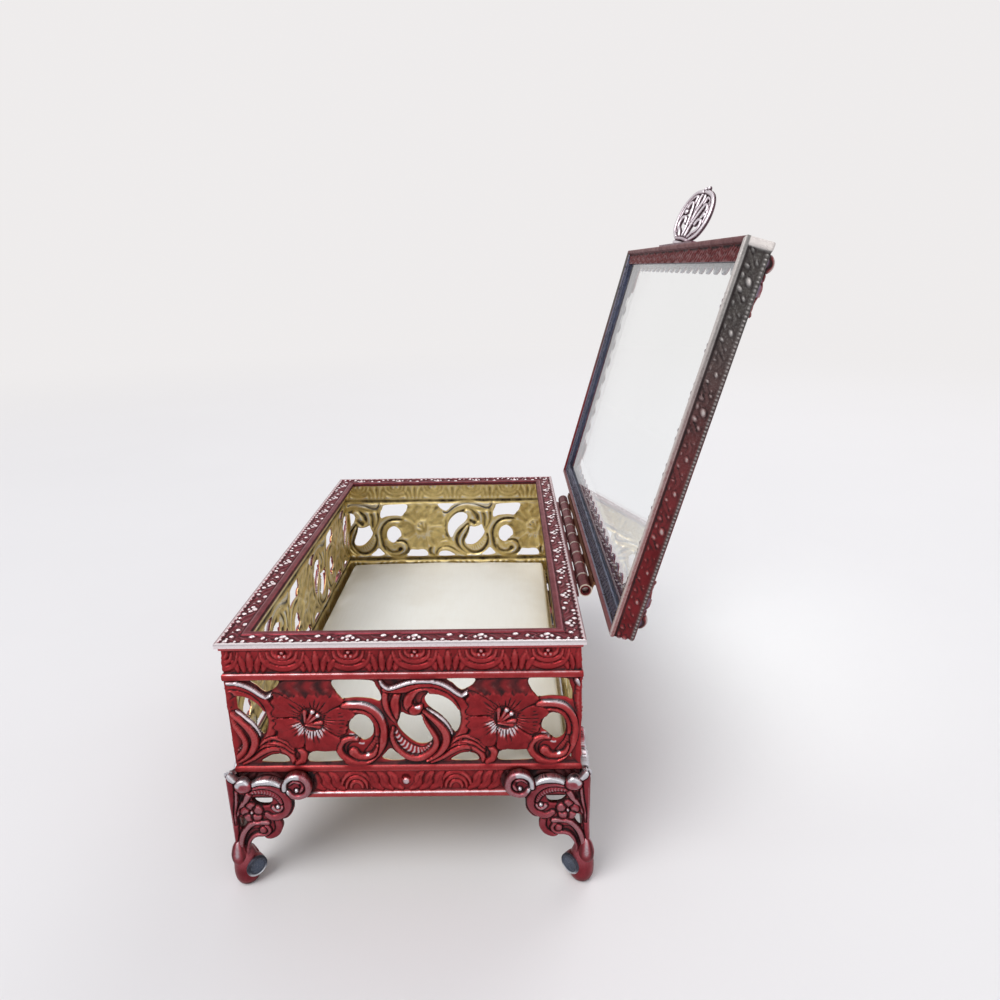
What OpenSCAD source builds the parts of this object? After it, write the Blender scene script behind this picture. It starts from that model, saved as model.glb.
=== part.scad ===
// Glass-lidded jewellery casket with pierced metal panels, corner legs and a hinged glass lid.
// Millimetres. X runs along the box, the front is at -Y, the hinge is at +Y and Z is up.
// The origin is on the floor, in the middle between the four feet.

/* [Box] */
// Length of the box over its rim
box_l = 120; // [104:1:150]
// Depth of the box over its rim
box_w = 76; // [66:1:96]
// Height of the lower edge of the panels above the floor
stand_h = 21.5; // [20:0.5:24]

/* [Panels] */
// Thickness of the panel sheet
sheet_t = 0.9; // [0.7:0.1:1.3]
// Height of the rails and scrolls above the sheet
relief_h = 0.8; // [0.5:0.1:1.1]
// How far the panels sit back from the edge of the rim
panel_inset = 0.3; // [0.1:0.1:0.8]
// Height of the plain lower lip
lip_h = 1.6; // [1.2:0.1:2.4]
// Height of the band of leaves
leaf_band_h = 5.1; // [4.5:0.1:6]
// Height of the lower and the upper rail
rail_h = 1.8; // [1.4:0.1:2.4]
// Height of the pierced zone
pierced_h = 20.9; // [19:0.1:24]
// Height of the band of fans
fan_band_h = 5.2; // [4.6:0.1:6]
// Height of the plain strip under the rim
fascia_h = 1.0; // [0.6:0.1:1.6]
// Length of one repeat of the pattern
repeat_l = 41.1; // [39:0.1:44]
// Width of the solid strip kept at each end of a panel
end_margin = 1.6; // [1.2:0.1:3]
// Width of the edge that is turned in under the base plate
turn_in = 1.5; // [1:0.1:3]
// Thickness of the turned-in edge
turn_t = 0.6; // [0.4:0.1:1]

/* [Rim] */
// Width of the rim
rim_w = 5.8; // [5:0.1:7]
// Thickness of the rim
rim_t = 0.8; // [0.6:0.1:1.2]
// Height of the beads on the rim
rim_bead_h = 0.3; // [0.2:0.05:0.5]
// Distance between the beads on the rim
rim_bead_gap = 4.1; // [3.4:0.1:6]

/* [Lining] */
// Thickness of the base plate
base_t = 0.8; // [0.6:0.1:1.2]
// Thickness of the lining card
card_t = 1.4; // [1:0.1:2]
// Thickness of the pad
pad_t = 5.6; // [4:0.1:7]
// Clearance round the base plate, the card and the pad
fit_gap = 0.2; // [0.1:0.05:0.5]
// Corner radius of the pad
pad_r = 2; // [1:0.5:4]

/* [Legs] */
// Height of the legs, up to the tips of their horns
leg_h = 29.5; // [28.5:0.5:32]
// Width of each face of a leg
leg_w = 18.6; // [17.5:0.1:20]
// Thickness of the leg casting
leg_t = 1.4; // [1.1:0.1:1.8]
// Height of the scrolls above the legs
leg_relief = 0.6; // [0.4:0.1:0.9]
// Radius of the foot at its widest
foot_r = 2.8; // [2.4:0.05:3.1]
// Radius of the flat under each foot
foot_flat_r = 1.7; // [1.4:0.1:2]
// Radius of the discs that end the curl of a foot
curl_r = 2.4; // [2:0.1:2.7]

/* [Hinge] */
// Length of the hinge
hinge_l = 70; // [60:1:84]
// Number of knuckles, shared by both leaves
knuckles = 10; // [6:2:12]
// Outer diameter of a knuckle
knuckle_d = 3.0; // [2.8:0.1:3.2]
// Diameter of the hinge pin
pin_d = 1.6; // [1.4:0.1:1.8]
// Clearance round the pin
pin_gap = 0.05; // [0.04:0.01:0.08]
// Gap between two knuckles
knuckle_gap = 0.2; // [0.1:0.05:0.3]
// Distance from the rim to the nearest point of the knuckles
hinge_stand_off = 0.9; // [0.8:0.1:1.4]
// Thickness of the leaves
leaf_t = 0.7; // [0.6:0.1:0.8]
// Height of the leaf on the back panel
leaf_h = 6.5; // [5:0.5:7]
// Angle that the lid opens to
open_angle = 105.4; // [95:0.1:115]

/* [Lid] */
// How far the lid overhangs the rim at its ends
lid_overhang = 1.0; // [0.5:0.1:1.6]
// How far the lid overhangs the rim at the front
front_overhang = 2.2; // [1:0.1:3]
// How far the back of the lid sits in from the edge of the rim
lid_back_inset = 0.2; // [0:0.1:0.6]
// Gap between the closed lid and the rim
lid_gap = 0.4; // [0.3:0.1:0.6]
// Thickness of the lid frame
lid_t = 5.6; // [5:0.1:6.2]
// Wall of the lid frame
lid_wall = 0.8; // [0.6:0.1:1]
// Width of the flange under the glass
flange_w = 4.2; // [4:0.1:5.5]
// Width of the rolled edge at the foot of the lid frame
roll_w = 1.2; // [1:0.1:1.6]
// How far the flange under the glass sits above the rolled edge
roll_drop = 0.8; // [0.5:0.1:1]
// Width of the flange over the glass, without its scallops
border_w = 4.6; // [4:0.1:5.5]
// Distance between the scallops
scallop_gap = 5.8; // [5:0.1:7]
// Radius of the scallops
scallop_r = 1.9; // [1.5:0.1:2.3]
// Thickness of the glass
glass_t = 2.8; // [2.4:0.1:3]
// Width of the bevel of the glass
bevel_w = 8; // [6:0.5:12]
// Depth of the bevel of the glass
bevel_d = 1.4; // [0.8:0.1:1.8]
// Height of the corner ornaments
corner_h = 2.2; // [1.6:0.1:2.8]
// Length of the arms of the corner ornaments
corner_arm = 9; // [7:0.5:12]

/* [Thumb lift] */
// Length of the thumb lift
tab_l = 15; // [12:0.5:17]
// Width of the thumb lift
tab_w = 12.5; // [11:0.5:16]
// Thickness of the thumb lift
tab_t = 1.2; // [0.9:0.1:1.6]
// Angle by which the thumb lift stands up from the plane of the lid
tab_tilt = 11; // [-4:1:14]
// Angle by which the thumb lift is turned about its stem
tab_turn = 22; // [0:1:26]
// Length of the strip that carries the thumb lift
tab_foot_l = 38; // [26:1:44]
// Width of the strip that carries the thumb lift
tab_foot_w = 3; // [2.6:0.1:3.6]
// Thickness of the strip that carries the thumb lift
tab_foot_t = 0.7; // [0.5:0.1:1]

/* [Hidden] */
$fn = 48;

FRONT = 0;
RIGHT = 1;
BACK = 2;
LEFT = 3;

// Heights of the bands of a panel, from its lower edge
leaf_y = lip_h;
low_rail_y = leaf_y + leaf_band_h;
pierced_y = low_rail_y + rail_h;
high_rail_y = pierced_y + pierced_h;
fan_y = high_rail_y + rail_h;
fascia_y = fan_y + fan_band_h;
panel_h = fascia_y + fascia_h;
panel_t = sheet_t + relief_h;
relief_margin = end_margin - 0.3;
band_relief = relief_h * 0.6;

panel_l = box_l - 2 * panel_inset;
panel_w = box_w - 2 * panel_inset;
rim_z = stand_h + panel_h;
rim_top = rim_z + rim_t + rim_bead_h;

// Inside of the box, between the backs of the panels
inner_l = panel_l - 2 * panel_t;
inner_w = panel_w - 2 * panel_t;
base_z = stand_h + turn_t;
card_z = base_z + base_t;
pad_z = card_z + card_t;

// Place of the first flower on each panel, from the panel's left end
front_phase = panel_l / 2 - repeat_l;
right_phase = panel_w / 2 - repeat_l / 2 + 0.4;
left_phase = panel_w / 2 - repeat_l * 0.78;

// Hinge axis
hinge_y = box_w / 2 + hinge_stand_off + knuckle_d / 2;
hinge_z = rim_top + lid_gap + 0.3 - knuckle_d / 2;
knuckle_l = hinge_l / knuckles;
web_t = 0.4;
knuckle_clearance = 0.25;

// Closed lid
lid_z = rim_top + lid_gap;
lid_front = -box_w / 2 - front_overhang;
lid_back = box_w / 2 - lid_back_inset;
lid_l = box_l + 2 * lid_overhang;
lid_w = lid_back - lid_front;
lid_mid = (lid_front + lid_back) / 2;
lip_line = 1.0;
lip_depth = 0.3;
glass_edge_gap = 0.3;
corner_in = border_w * 0.75;
bead_r = 0.9;

// The drawing sizes of the pattern: its outlines below are given in these
DRAWN_REPEAT = 41.1;
DRAWN_PIERCED = 20.9;
DRAWN_LEG_W = 18.6;
DRAWN_LEG_H = 29.5;

// ---------------------------------------------------------------- curves

function spline(a, b, c, d, t) =
    0.5 * (2 * b + (c - a) * t + (2 * a - 5 * b + 4 * c - d) * t * t
        + (3 * b - a - 3 * c + d) * t * t * t);

function closed_curve(p, steps = 2) =
    let (n = len(p))
    [for (i = [0:n - 1]) for (s = [0:steps - 1])
        spline(p[(i + n - 1) % n], p[i], p[(i + 1) % n], p[(i + 2) % n], s / steps)];

function open_curve(p, steps = 3) =
    let (n = len(p) - 1)
    concat(
        [for (i = [0:n - 1]) for (s = [0:steps - 1])
            spline(p[max(i - 1, 0)], p[i], p[i + 1], p[min(i + 2, n)], s / steps)],
        [p[n]]);

function side(p, i) =
    let (d = p[min(i + 1, len(p) - 1)] - p[max(i - 1, 0)])
    [-d.y, d.x] / norm(d);

// Half width of a stroke at t from 0 to 1, for its widths at the start, the middle and the end
function half_width(t, w) =
    t < 0.5 ? lerp(w[0], w[1], sin(180 * t)) / 2 : lerp(w[2], w[1], sin(180 * t)) / 2;

function lerp(a, b, t) = a + (b - a) * t;

// Outline of a stroke along the points p
function ribbon(p, w) =
    let (n = len(p) - 1)
    concat(
        [for (i = [0:n]) p[i] + side(p, i) * half_width(i / n, w)],
        [for (i = [n:-1:0]) p[i] - side(p, i) * half_width(i / n, w)]);

module stroke(points, w) {
    polygon(ribbon(open_curve(points), w));
}

// ---------------------------------------------------------------- panel pattern
// One repeat, drawn from the middle of its flower and from the top of the lower rail.

// Places a drawn point at the real repeat and height
function at(p) = [p.x * repeat_l / DRAWN_REPEAT, p.y * pierced_h / DRAWN_PIERCED];
function placed(points) = [for (p = points) at(p)];

FLOWER = [0, 11.7];
FLOWER_R = 8.3;

// Through holes of one repeat
EYE_HOLE = [[-16.5, 16.4], [-14, 17], [-11, 15], [-9.3, 11.5], [-9.8, 8.5], [-10.7, 7.6],
    [-12, 9.5], [-13.6, 11.6], [-15.7, 13.6]];
BELLY_HOLE = [[-21.6, 12.2], [-22.6, 10.4], [-22.1, 8], [-20.4, 6], [-17.6, 5], [-15.8, 5.1],
    [-15.7, 6.6], [-16.8, 9], [-17.3, 11.5], [-19.2, 11.8]];
DOME_HOLE = [[-11.4, 0.5], [-10.8, 1.7], [-9, 2.5], [-7, 2.3], [-5.8, 1.2], [-5.6, 0.5], [-8.4, 0.3]];
SKY_HOLE = [[5, 20.4], [9.6, 20.7], [14.2, 20.4], [14.7, 19], [15.7, 17.3], [15.4, 14.8],
    [13.1, 15.8], [10, 16.6], [7, 16.6], [5.6, 18]];
FOOT_HOLE = [[-1.6, 0.5], [-1.5, 2.2], [0.2, 3], [2, 2.8], [4.2, 3], [5.1, 1.8], [6, 0.5], [2.2, 0.3]];
RING_HOLE = [[7.7, 9], [8.2, 11], [9.5, 12.3], [11.1, 12.1], [12.5, 10.5], [12.9, 8.5],
    [12.3, 6.6], [11, 5.6], [9.2, 7.1]];
CUP_HOLE = [[-11.6, 20.4], [-8.8, 20.7], [-6, 20.4], [-6.8, 18.9], [-8.7, 17.9], [-10.4, 18.9]];
WEDGE_HOLE = [[16.7, 3.2], [14.6, 1], [16.7, 0.6], [19.3, 1]];

HOLES = [EYE_HOLE, BELLY_HOLE, DOME_HOLE, SKY_HOLE, FOOT_HOLE, RING_HOLE, CUP_HOLE, WEDGE_HOLE];

// Raised scrolls of one repeat: the line that each follows, then its widths
CREST = [[-25.8, 19.8], [-24.2, 18.7], [-21, 18.9], [-17.5, 19.1], [-14, 18.6], [-11, 16.9],
    [-8.9, 14.2], [-8.3, 11], [-8.9, 8.2], [-10.2, 6]];
BROW = [[-11.6, 16.6], [-14, 17.8], [-17, 17.6], [-19.8, 16.2], [-21, 14.4], [-20.2, 12.9]];
SWAN = [[-16.9, 15.4], [-15.9, 12.6], [-14.6, 9.6], [-13.7, 6.6], [-14.4, 3.9], [-16.9, 2.2],
    [-19.8, 2.3], [-22, 3.7], [-23.2, 5.8], [-23.4, 7.8]];
ARM = [[-24.8, 17.2], [-24.4, 14.6], [-23.6, 11.8], [-23.2, 9.4]];
RING = [[5.9, 15.4], [8.4, 14.9], [11, 14.3], [13.4, 12.5], [14.7, 9.8], [14.6, 6.6],
    [13.4, 3.9], [11.2, 2.2], [8.6, 1.9], [6.7, 3.3], [6.5, 5.2], [7.9, 6.3]];
CURL = [[7.2, 7.4], [8.9, 6.6], [9.7, 5.2], [10.8, 4.2]];
BRANCH = [[-15.5, 1], [-12.6, 2.9], [-10.2, 4.8], [-8.2, 6.8]];
LEAF = [[-12.6, 1.2], [-10.6, 3], [-8.4, 3.8], [-6, 3.5], [-4.6, 2.2], [-4.4, 0.8]];

SCROLLS = [
    [CREST, [0.8, 1.7, 1.0]],
    [BROW, [0.8, 1.3, 0.9]],
    [SWAN, [1.0, 2.4, 0.8]],
    [ARM, [1.2, 2.0, 0.6]],
    [RING, [1.2, 2.2, 1.0]],
    [CURL, [0.8, 1.2, 0.8]],
    [BRANCH, [0.6, 1.4, 0.8]],
    [LEAF, [0.5, 1.2, 0.8]],
];
// Round bosses that the scrolls end in: centre and radius
BOSSES = [[[-18.6, 14], 1.7], [[11.6, 4.3], 0.9], [[-2.6, 1.8], 1.2]];

PETALS = 5;
PETAL_EDGE = [[2.4, -0.9], [4.6, -3], [7, -3.9], [8.3, -2.6], [8.0, -0.8], [8.7, 0],
    [8.0, 0.8], [8.3, 2.6], [7, 3.9], [4.6, 3], [2.4, 0.9]];

function turned(points, a) =
    [for (p = points) [p.x * cos(a) - p.y * sin(a), p.x * sin(a) + p.y * cos(a)]];

function moved(points, v) = [for (p = points) p + v];

module petal(i) {
    polygon(placed(moved(turned(closed_curve(PETAL_EDGE, 1), 18 + i * 360 / PETALS), FLOWER)));
}

module stamen(a) {
    polygon(placed(moved(turned([[0, -0.2], [1.7, -0.3], [2.0, 0], [1.7, 0.3], [0, 0.2]], a), FLOWER)));
}

// Flat outline of what stands up from the sheet in the pierced zone
module raised_repeat() {
    for (s = SCROLLS)
        stroke(placed(s[0]), s[1]);
    for (b = BOSSES)
        translate(at(b[0])) circle(r = b[1]);
    for (i = [0:PETALS - 1])
        petal(i);
    for (a = [20:50:320])
        stamen(a);
}

module holes_repeat() {
    for (h = HOLES)
        polygon(placed(closed_curve(h)));
}

// Fans and swags, three to a repeat
FANS = 3;
module fan_motif() {
    k = fan_band_h / 5.2;
    stroke([[-5.2, 4.4], [-3.6, 1.9], [0, 0.8], [3.6, 1.9], [5.2, 4.4]] * k, [0.6, 1.0, 0.6]);
    stroke([[-2.8, 4.2], [0, 2.2], [2.8, 4.2]] * k, [0.5, 0.9, 0.5]);
    translate([0, 4] * k) circle(r = 0.6);
}
module fan_blades() {
    k = fan_band_h / 5.2;
    stroke([[0, 0.5], [0, 2.4], [0, 4.6]] * k, [0.4, 1.0, 0.3]);
    for (m = [-1, 1])
        stroke([[0.9 * m, 0.5], [1.4 * m, 2.3], [2.6 * m, 4]] * k, [0.4, 0.8, 0.3]);
}

// Leaves that lean away from a boss, mirrored to both sides of it
LEAVES = 5;
module leaf_motif() {
    k = leaf_band_h / 5.1;
    translate([0, 2.6] * k) circle(r = 1);
    for (m = [-1, 1]) for (i = [1:LEAVES])
        stroke([[m * (3.4 * i - 1.1), 0.7], [m * (3.4 * i + 0.5), 2.2], [m * (3.4 * i - 0.2), 4.4]] * k,
            [0.5, 1.3, 0.4]);
}

module repeats(length, phase, step, offset = 0) {
    first = floor((phase + offset) / step) + 1;
    for (i = [-first:ceil(length / step)])
        translate([phase + offset + i * step, 0]) children();
}

// A strip along the panel whose face is rounded: its height, its start and how far it stands out
module moulding(length, y, h, stand) {
    c = min(h * 0.3, stand);
    translate([0, y, sheet_t])
        rotate([90, 0, 90])
            linear_extrude(length)
                polygon([[0, 0], [h, 0], [h, stand - c], [h - c, stand], [c, stand], [0, stand - c]]);
}

// Cuts both ends of what is drawn from x = 0 to length to a mitre, for faces that look along +Z
module mitred(length, depth, height) {
    difference() {
        children();
        for (m = [0, 1])
            translate([m * length, -height * 0.1, depth]) mirror([m, 0, 0])
                rotate([-90, 0, 0]) linear_extrude(height * 1.2)
                    polygon([[0, 0], [-depth - 1, 0], [-depth - 1, depth + 1], [depth + 1, depth + 1]]);
    }
}

// A panel seen from outside: x along it, y up it and z outwards
module panel(length, phase) {
    boss_offset = 19.5 * repeat_l / DRAWN_REPEAT;
    fan_offset = 1.85 * repeat_l / DRAWN_REPEAT;
    fan_step = repeat_l / FANS;
    mitred(length, panel_t, panel_h) union() {
        linear_extrude(sheet_t) difference() {
            square([length, panel_h]);
            intersection() {
                translate([0, pierced_y]) repeats(length, phase, repeat_l) holes_repeat();
                translate([end_margin, pierced_y]) square([length - 2 * end_margin, pierced_h]);
            }
        }
        translate([0, 0, sheet_t]) linear_extrude(relief_h) intersection() {
            translate([0, pierced_y]) repeats(length, phase, repeat_l) raised_repeat();
            translate([relief_margin, pierced_y]) square([length - 2 * relief_margin, pierced_h]);
        }
        moulding(length, 0, lip_h, relief_h);
        moulding(length, low_rail_y, rail_h, relief_h);
        moulding(length, high_rail_y, rail_h, relief_h);
        moulding(length, fascia_y, fascia_h, relief_h);
        translate([0, 0, sheet_t]) linear_extrude(band_relief) intersection() {
            union() {
                translate([0, leaf_y]) repeats(length, phase, repeat_l, boss_offset) leaf_motif();
                translate([0, fan_y]) repeats(length, phase, fan_step, fan_offset) fan_blades();
                translate([0, fan_y]) repeats(length, phase, fan_step, fan_offset + fan_step / 2) fan_motif();
            }
            translate([relief_margin, 0]) square([length - 2 * relief_margin, panel_h]);
        }
        translate([panel_t + turn_in, 0, -turn_in])
            cube([length - 2 * (panel_t + turn_in), turn_t, turn_in]);
    }
}

// Turns what is drawn for the front to another side of the box
module on_side(s) {
    rotate([0, 0, 90 * s]) children();
}

module stand_panel(s, length, across, phase) {
    color([0.6, 0.2, 0.2]) on_side(s)
        translate([-length / 2, -across / 2 + panel_t, stand_h]) rotate([90, 0, 0])
            panel(length, phase);
}

module panel_front() { stand_panel(FRONT, panel_l, panel_w, front_phase); }
module panel_right() { stand_panel(RIGHT, panel_w, panel_l, right_phase); }
module panel_back() { stand_panel(BACK, panel_l, panel_w, front_phase); }
module panel_left() { stand_panel(LEFT, panel_w, panel_l, left_phase); }

// ---------------------------------------------------------------- rim

// A mitred strip along -Y: profile points are [distance in from the edge, height]
module mitred_strip(length, across, w, profile) {
    intersection() {
        translate([-length / 2, -across / 2, 0]) rotate([90, 0, 90])
            linear_extrude(length) polygon(profile);
        translate([0, -across / 2, -w]) linear_extrude(3 * w)
            polygon([[-length / 2, 0], [length / 2, 0], [length / 2 - w, w], [-length / 2 + w, w]]);
    }
}

module rim(s, length, across) {
    edge = rim_t * 0.35;
    bead = rim_bead_h;
    profile = [[0, edge], [edge, 0], [rim_w, 0], [rim_w, rim_t + bead - 0.1], [rim_w - 0.3, rim_t + bead],
        [rim_w - 1.1, rim_t + bead], [rim_w - 1.4, rim_t], [1, rim_t], [0.8, rim_t + bead],
        [edge, rim_t + bead], [0, rim_t]];
    count = floor((length - 2 * rim_w) / rim_bead_gap);
    color([0.45, 0.25, 0.27]) on_side(s) translate([0, 0, rim_z]) {
        mitred_strip(length, across, rim_w, profile);
        for (i = [0:count])
            translate([(i - count / 2) * rim_bead_gap, -across / 2 + rim_w * 0.45, rim_t])
                cylinder(h = bead, r1 = 0.7, r2 = 0.45, $fn = 24);
    }
}

module rim_front() { rim(FRONT, box_l, box_w); }
module rim_right() { rim(RIGHT, box_w, box_l); }
module rim_back() { rim(BACK, box_l, box_w); }
module rim_left() { rim(LEFT, box_w, box_l); }

// ---------------------------------------------------------------- base and lining

module rounded_plate(l, w, h, r) {
    linear_extrude(h) union() {
        square([l - 2 * r, w], center = true);
        square([l, w - 2 * r], center = true);
        for (x = [-1, 1]) for (y = [-1, 1])
            translate([x * (l / 2 - r), y * (w / 2 - r)]) circle(r = r);
    }
}

module base_plate() {
    color([0.55, 0.5, 0.38]) translate([-inner_l / 2 + fit_gap, -inner_w / 2 + fit_gap, base_z])
        cube([inner_l - 2 * fit_gap, inner_w - 2 * fit_gap, base_t]);
}

module lining_card() {
    color([0.8, 0.76, 0.68]) translate([-inner_l / 2 + fit_gap, -inner_w / 2 + fit_gap, card_z])
        cube([inner_l - 2 * fit_gap, inner_w - 2 * fit_gap, card_t]);
}

module lining_pad() {
    color([0.9, 0.88, 0.82]) translate([0, 0, pad_z])
        rounded_plate(inner_l - 2 * fit_gap, inner_w - 2 * fit_gap, pad_t, pad_r);
}

// ---------------------------------------------------------------- legs
// One face of a leg, drawn from its outer corner inwards and up from the floor.

function on_leg(points) =
    [for (p = points) [p.x * leg_w / DRAWN_LEG_W, p.y * leg_h / DRAWN_LEG_H]];

LEG_EDGE = [[0, 6], [0.1, 12], [0, 20], [0, 26], [0.6, 29.3], [1.4, 27.9], [1.9, 26.8], [2.6, 27.6],
    [3.5, 27.9], [4.5, 27.5], [5.3, 26.4], [6.8, 27.3], [8.8, 27.6], [10.8, 27.2], [12.4, 26.2],
    [13.2, 27.8], [15.2, 28.9], [17.4, 28.2], [18.6, 25.9], [17.8, 23.8], [15.6, 22.8], [14.3, 22.2],
    [13.9, 19.6], [12.4, 17.7], [11, 16.8], [11.1, 15], [10.1, 13], [7.6, 12], [6, 12.9], [4.6, 12.3],
    [3.5, 10.6], [3.1, 8.4], [3.1, 6]];
LEG_WINDOW = [[5.4, 23], [7.4, 23.3], [9.5, 22.9], [9.4, 21.5], [8, 20.9], [6.2, 21.3]];
LEG_SLOT = [[1.9, 17.2], [2.8, 17.9], [3.5, 16.6], [2.8, 15.3], [2, 14.8]];
LEG_ARCH = [[5.6, 25.9], [8.8, 26.6], [11.8, 25.3], [13, 22.6], [12.6, 19.8], [10.8, 18.3],
    [9, 19]];
LEG_SCROLL = [[13.4, 25.2], [14.2, 27.3], [16, 27.9], [17.4, 26.6], [17.2, 24.9], [15.8, 24.2]];
LEG_SWEEP = [[10, 15.6], [8.4, 13.9], [6.4, 14.8], [4.3, 14], [2.9, 11.6], [2.3, 8.4]];
LEG_STEM = [[1, 28], [1.1, 23], [1.2, 18], [0.9, 13], [1, 8]];
// Half sections of the foot and of the heel above it, as shares of the foot's radius and height
FOOT = [[0, 0.07], [0.86, 0.07], [1, 0.24], [1, 0.42], [0.92, 0.6], [0.74, 0.78], [0.5, 1], [0, 1]];
HEEL = [[0, 0.42], [0.6, 0.6], [0.68, 0.8], [0.5, 1], [0.15, 1.13], [0, 1.13]];
foot_out = 0.2;
heel_out = 1;
LEG_BALL = [3.5, 26.1];
LEG_FLOWER = [5, 19.1];

module leg_face() {
    linear_extrude(leg_t) difference() {
        polygon(on_leg(closed_curve(LEG_EDGE)));
        for (h = [LEG_WINDOW, LEG_SLOT])
            polygon(on_leg(closed_curve(h)));
    }
    translate([0, 0, leg_t]) linear_extrude(leg_relief) union() {
        stroke(on_leg(LEG_ARCH), [0.8, 1.7, 1.1]);
        stroke(on_leg(LEG_SCROLL), [1.0, 1.5, 1.1]);
        stroke(on_leg(LEG_SWEEP), [1.2, 1.7, 0.9]);
        stroke(on_leg(LEG_STEM), [0.5, 1.0, 0.7]);
        translate(on_leg([LEG_BALL])[0]) circle(r = 1.3);
        translate(on_leg([LEG_FLOWER])[0]) {
            circle(r = 0.7);
            for (a = [18:72:306])
                rotate(a) translate([1.7, 0]) circle(r = 0.95);
        }
    }
}

// A leg for the corner at +X, -Y, with its inner faces on the planes x = 0 and y = 0
module leg_casting() {
    foot_z = leg_h / 3;
    translate([0, -leg_t, 0]) rotate([90, 0, 90]) leg_face();
    translate([leg_t, 0, 0]) mirror([1, 0, 0]) rotate([90, 0, 0]) leg_face();
    translate([foot_out, -foot_out, 0]) {
        rotate_extrude() polygon([for (p = FOOT) [p.x * foot_r, p.y * foot_z]]);
        rotate_extrude() polygon([[0, 0], [foot_flat_r, 0], [foot_r * 0.5, foot_z / 2], [0, foot_z / 2]]);
        for (m = [0, 1])
            mirror([m, m, 0]) translate([foot_r * 0.5, foot_r * 1.05, foot_z * 0.45]) rotate([0, 0, 45])
                rotate([0, 90, 0]) curl_end();
    }
    translate([heel_out, -heel_out, 0])
        rotate_extrude() polygon([for (p = HEEL) [p.x * foot_r, p.y * foot_z]]);
}

// Dished end of the curl of a foot: its face is at z = 0
module curl_end() {
    translate([0, 0, -curl_r * 1.3]) difference() {
        cylinder(h = curl_r * 1.3, r = curl_r);
        translate([0, 0, curl_r * 1.3 - 0.4]) cylinder(h = 1, r = curl_r - 0.5);
    }
}

// Corner of the casket: mx and my are 1 or -1
module leg(mx, my) {
    color([0.6, 0.33, 0.36]) translate([mx * panel_l / 2, my * panel_w / 2, 0])
        mirror([mx > 0 ? 0 : 1, 0, 0]) mirror([0, my < 0 ? 0 : 1, 0]) leg_casting();
}

module leg_front_right() { leg(1, -1); }
module leg_front_left() { leg(-1, -1); }
module leg_back_right() { leg(1, 1); }
module leg_back_left() { leg(-1, 1); }

// ---------------------------------------------------------------- hinge

module knuckle_run(first) {
    for (i = [first:2:knuckles - 1])
        translate([-hinge_l / 2 + i * knuckle_l + knuckle_gap / 2, 0, 0]) children();
}

module knuckle() {
    rotate([0, 90, 0]) cylinder(h = knuckle_l - knuckle_gap, d = knuckle_d);
}

module pin_bore() {
    translate([-hinge_l / 2 - 1, 0, 0]) rotate([0, 90, 0]) cylinder(h = hinge_l + 2, d = pin_d + 2 * pin_gap);
}

// How near a strip with its far face at the top of the knuckles may come to the hinge axis
function strip_reach(t) = sqrt(pow(knuckle_d / 2 + knuckle_clearance, 2) - pow(knuckle_d / 2 - t, 2));

// The leaf on the back panel: plate, fingers and knuckles round the hinge axis
module hinge_leaf_body() {
    seat = hinge_y - panel_w / 2;
    color([0.5, 0.36, 0.35]) translate([0, hinge_y, hinge_z]) difference() {
        union() {
            knuckle_run(0) {
                knuckle();
                translate([0, -seat, -knuckle_d / 2]) cube([knuckle_l - knuckle_gap, seat, leaf_t]);
            }
            translate([-hinge_l / 2, -seat, -knuckle_d / 2 + leaf_t - leaf_h])
                cube([hinge_l, leaf_t, leaf_h]);
            translate([-hinge_l / 2, -seat, -knuckle_d / 2])
                cube([hinge_l, seat - strip_reach(leaf_t), leaf_t]);
        }
        pin_bore();
    }
}

module hinge_pin() {
    color([0.55, 0.5, 0.45]) translate([-hinge_l / 2 + knuckle_d / 2, hinge_y, hinge_z]) rotate([0, 90, 0])
        cylinder(h = hinge_l - knuckle_d, d = pin_d);
}

// Turns what is drawn on the closed lid to where the open lid stands
module open_lid() {
    translate([0, hinge_y, hinge_z]) rotate([-open_angle, 0, 0]) translate([0, -hinge_y, -hinge_z])
        children();
}

module hinge_leaf_lid() {
    seat = hinge_y - lid_back;
    plate_h = lid_t - 0.8;
    color([0.5, 0.36, 0.35]) open_lid() translate([0, hinge_y, hinge_z]) difference() {
        union() {
            knuckle_run(1) {
                knuckle();
                translate([0, -seat, knuckle_d / 2 - web_t]) cube([knuckle_l - knuckle_gap, seat, web_t]);
            }
            translate([-hinge_l / 2, -seat, knuckle_d / 2 - web_t]) cube([hinge_l, leaf_t, plate_h]);
            translate([-hinge_l / 2, -seat, knuckle_d / 2 - web_t])
                cube([hinge_l, seat - strip_reach(web_t), web_t]);
        }
        pin_bore();
    }
}

// ---------------------------------------------------------------- lid

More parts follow.
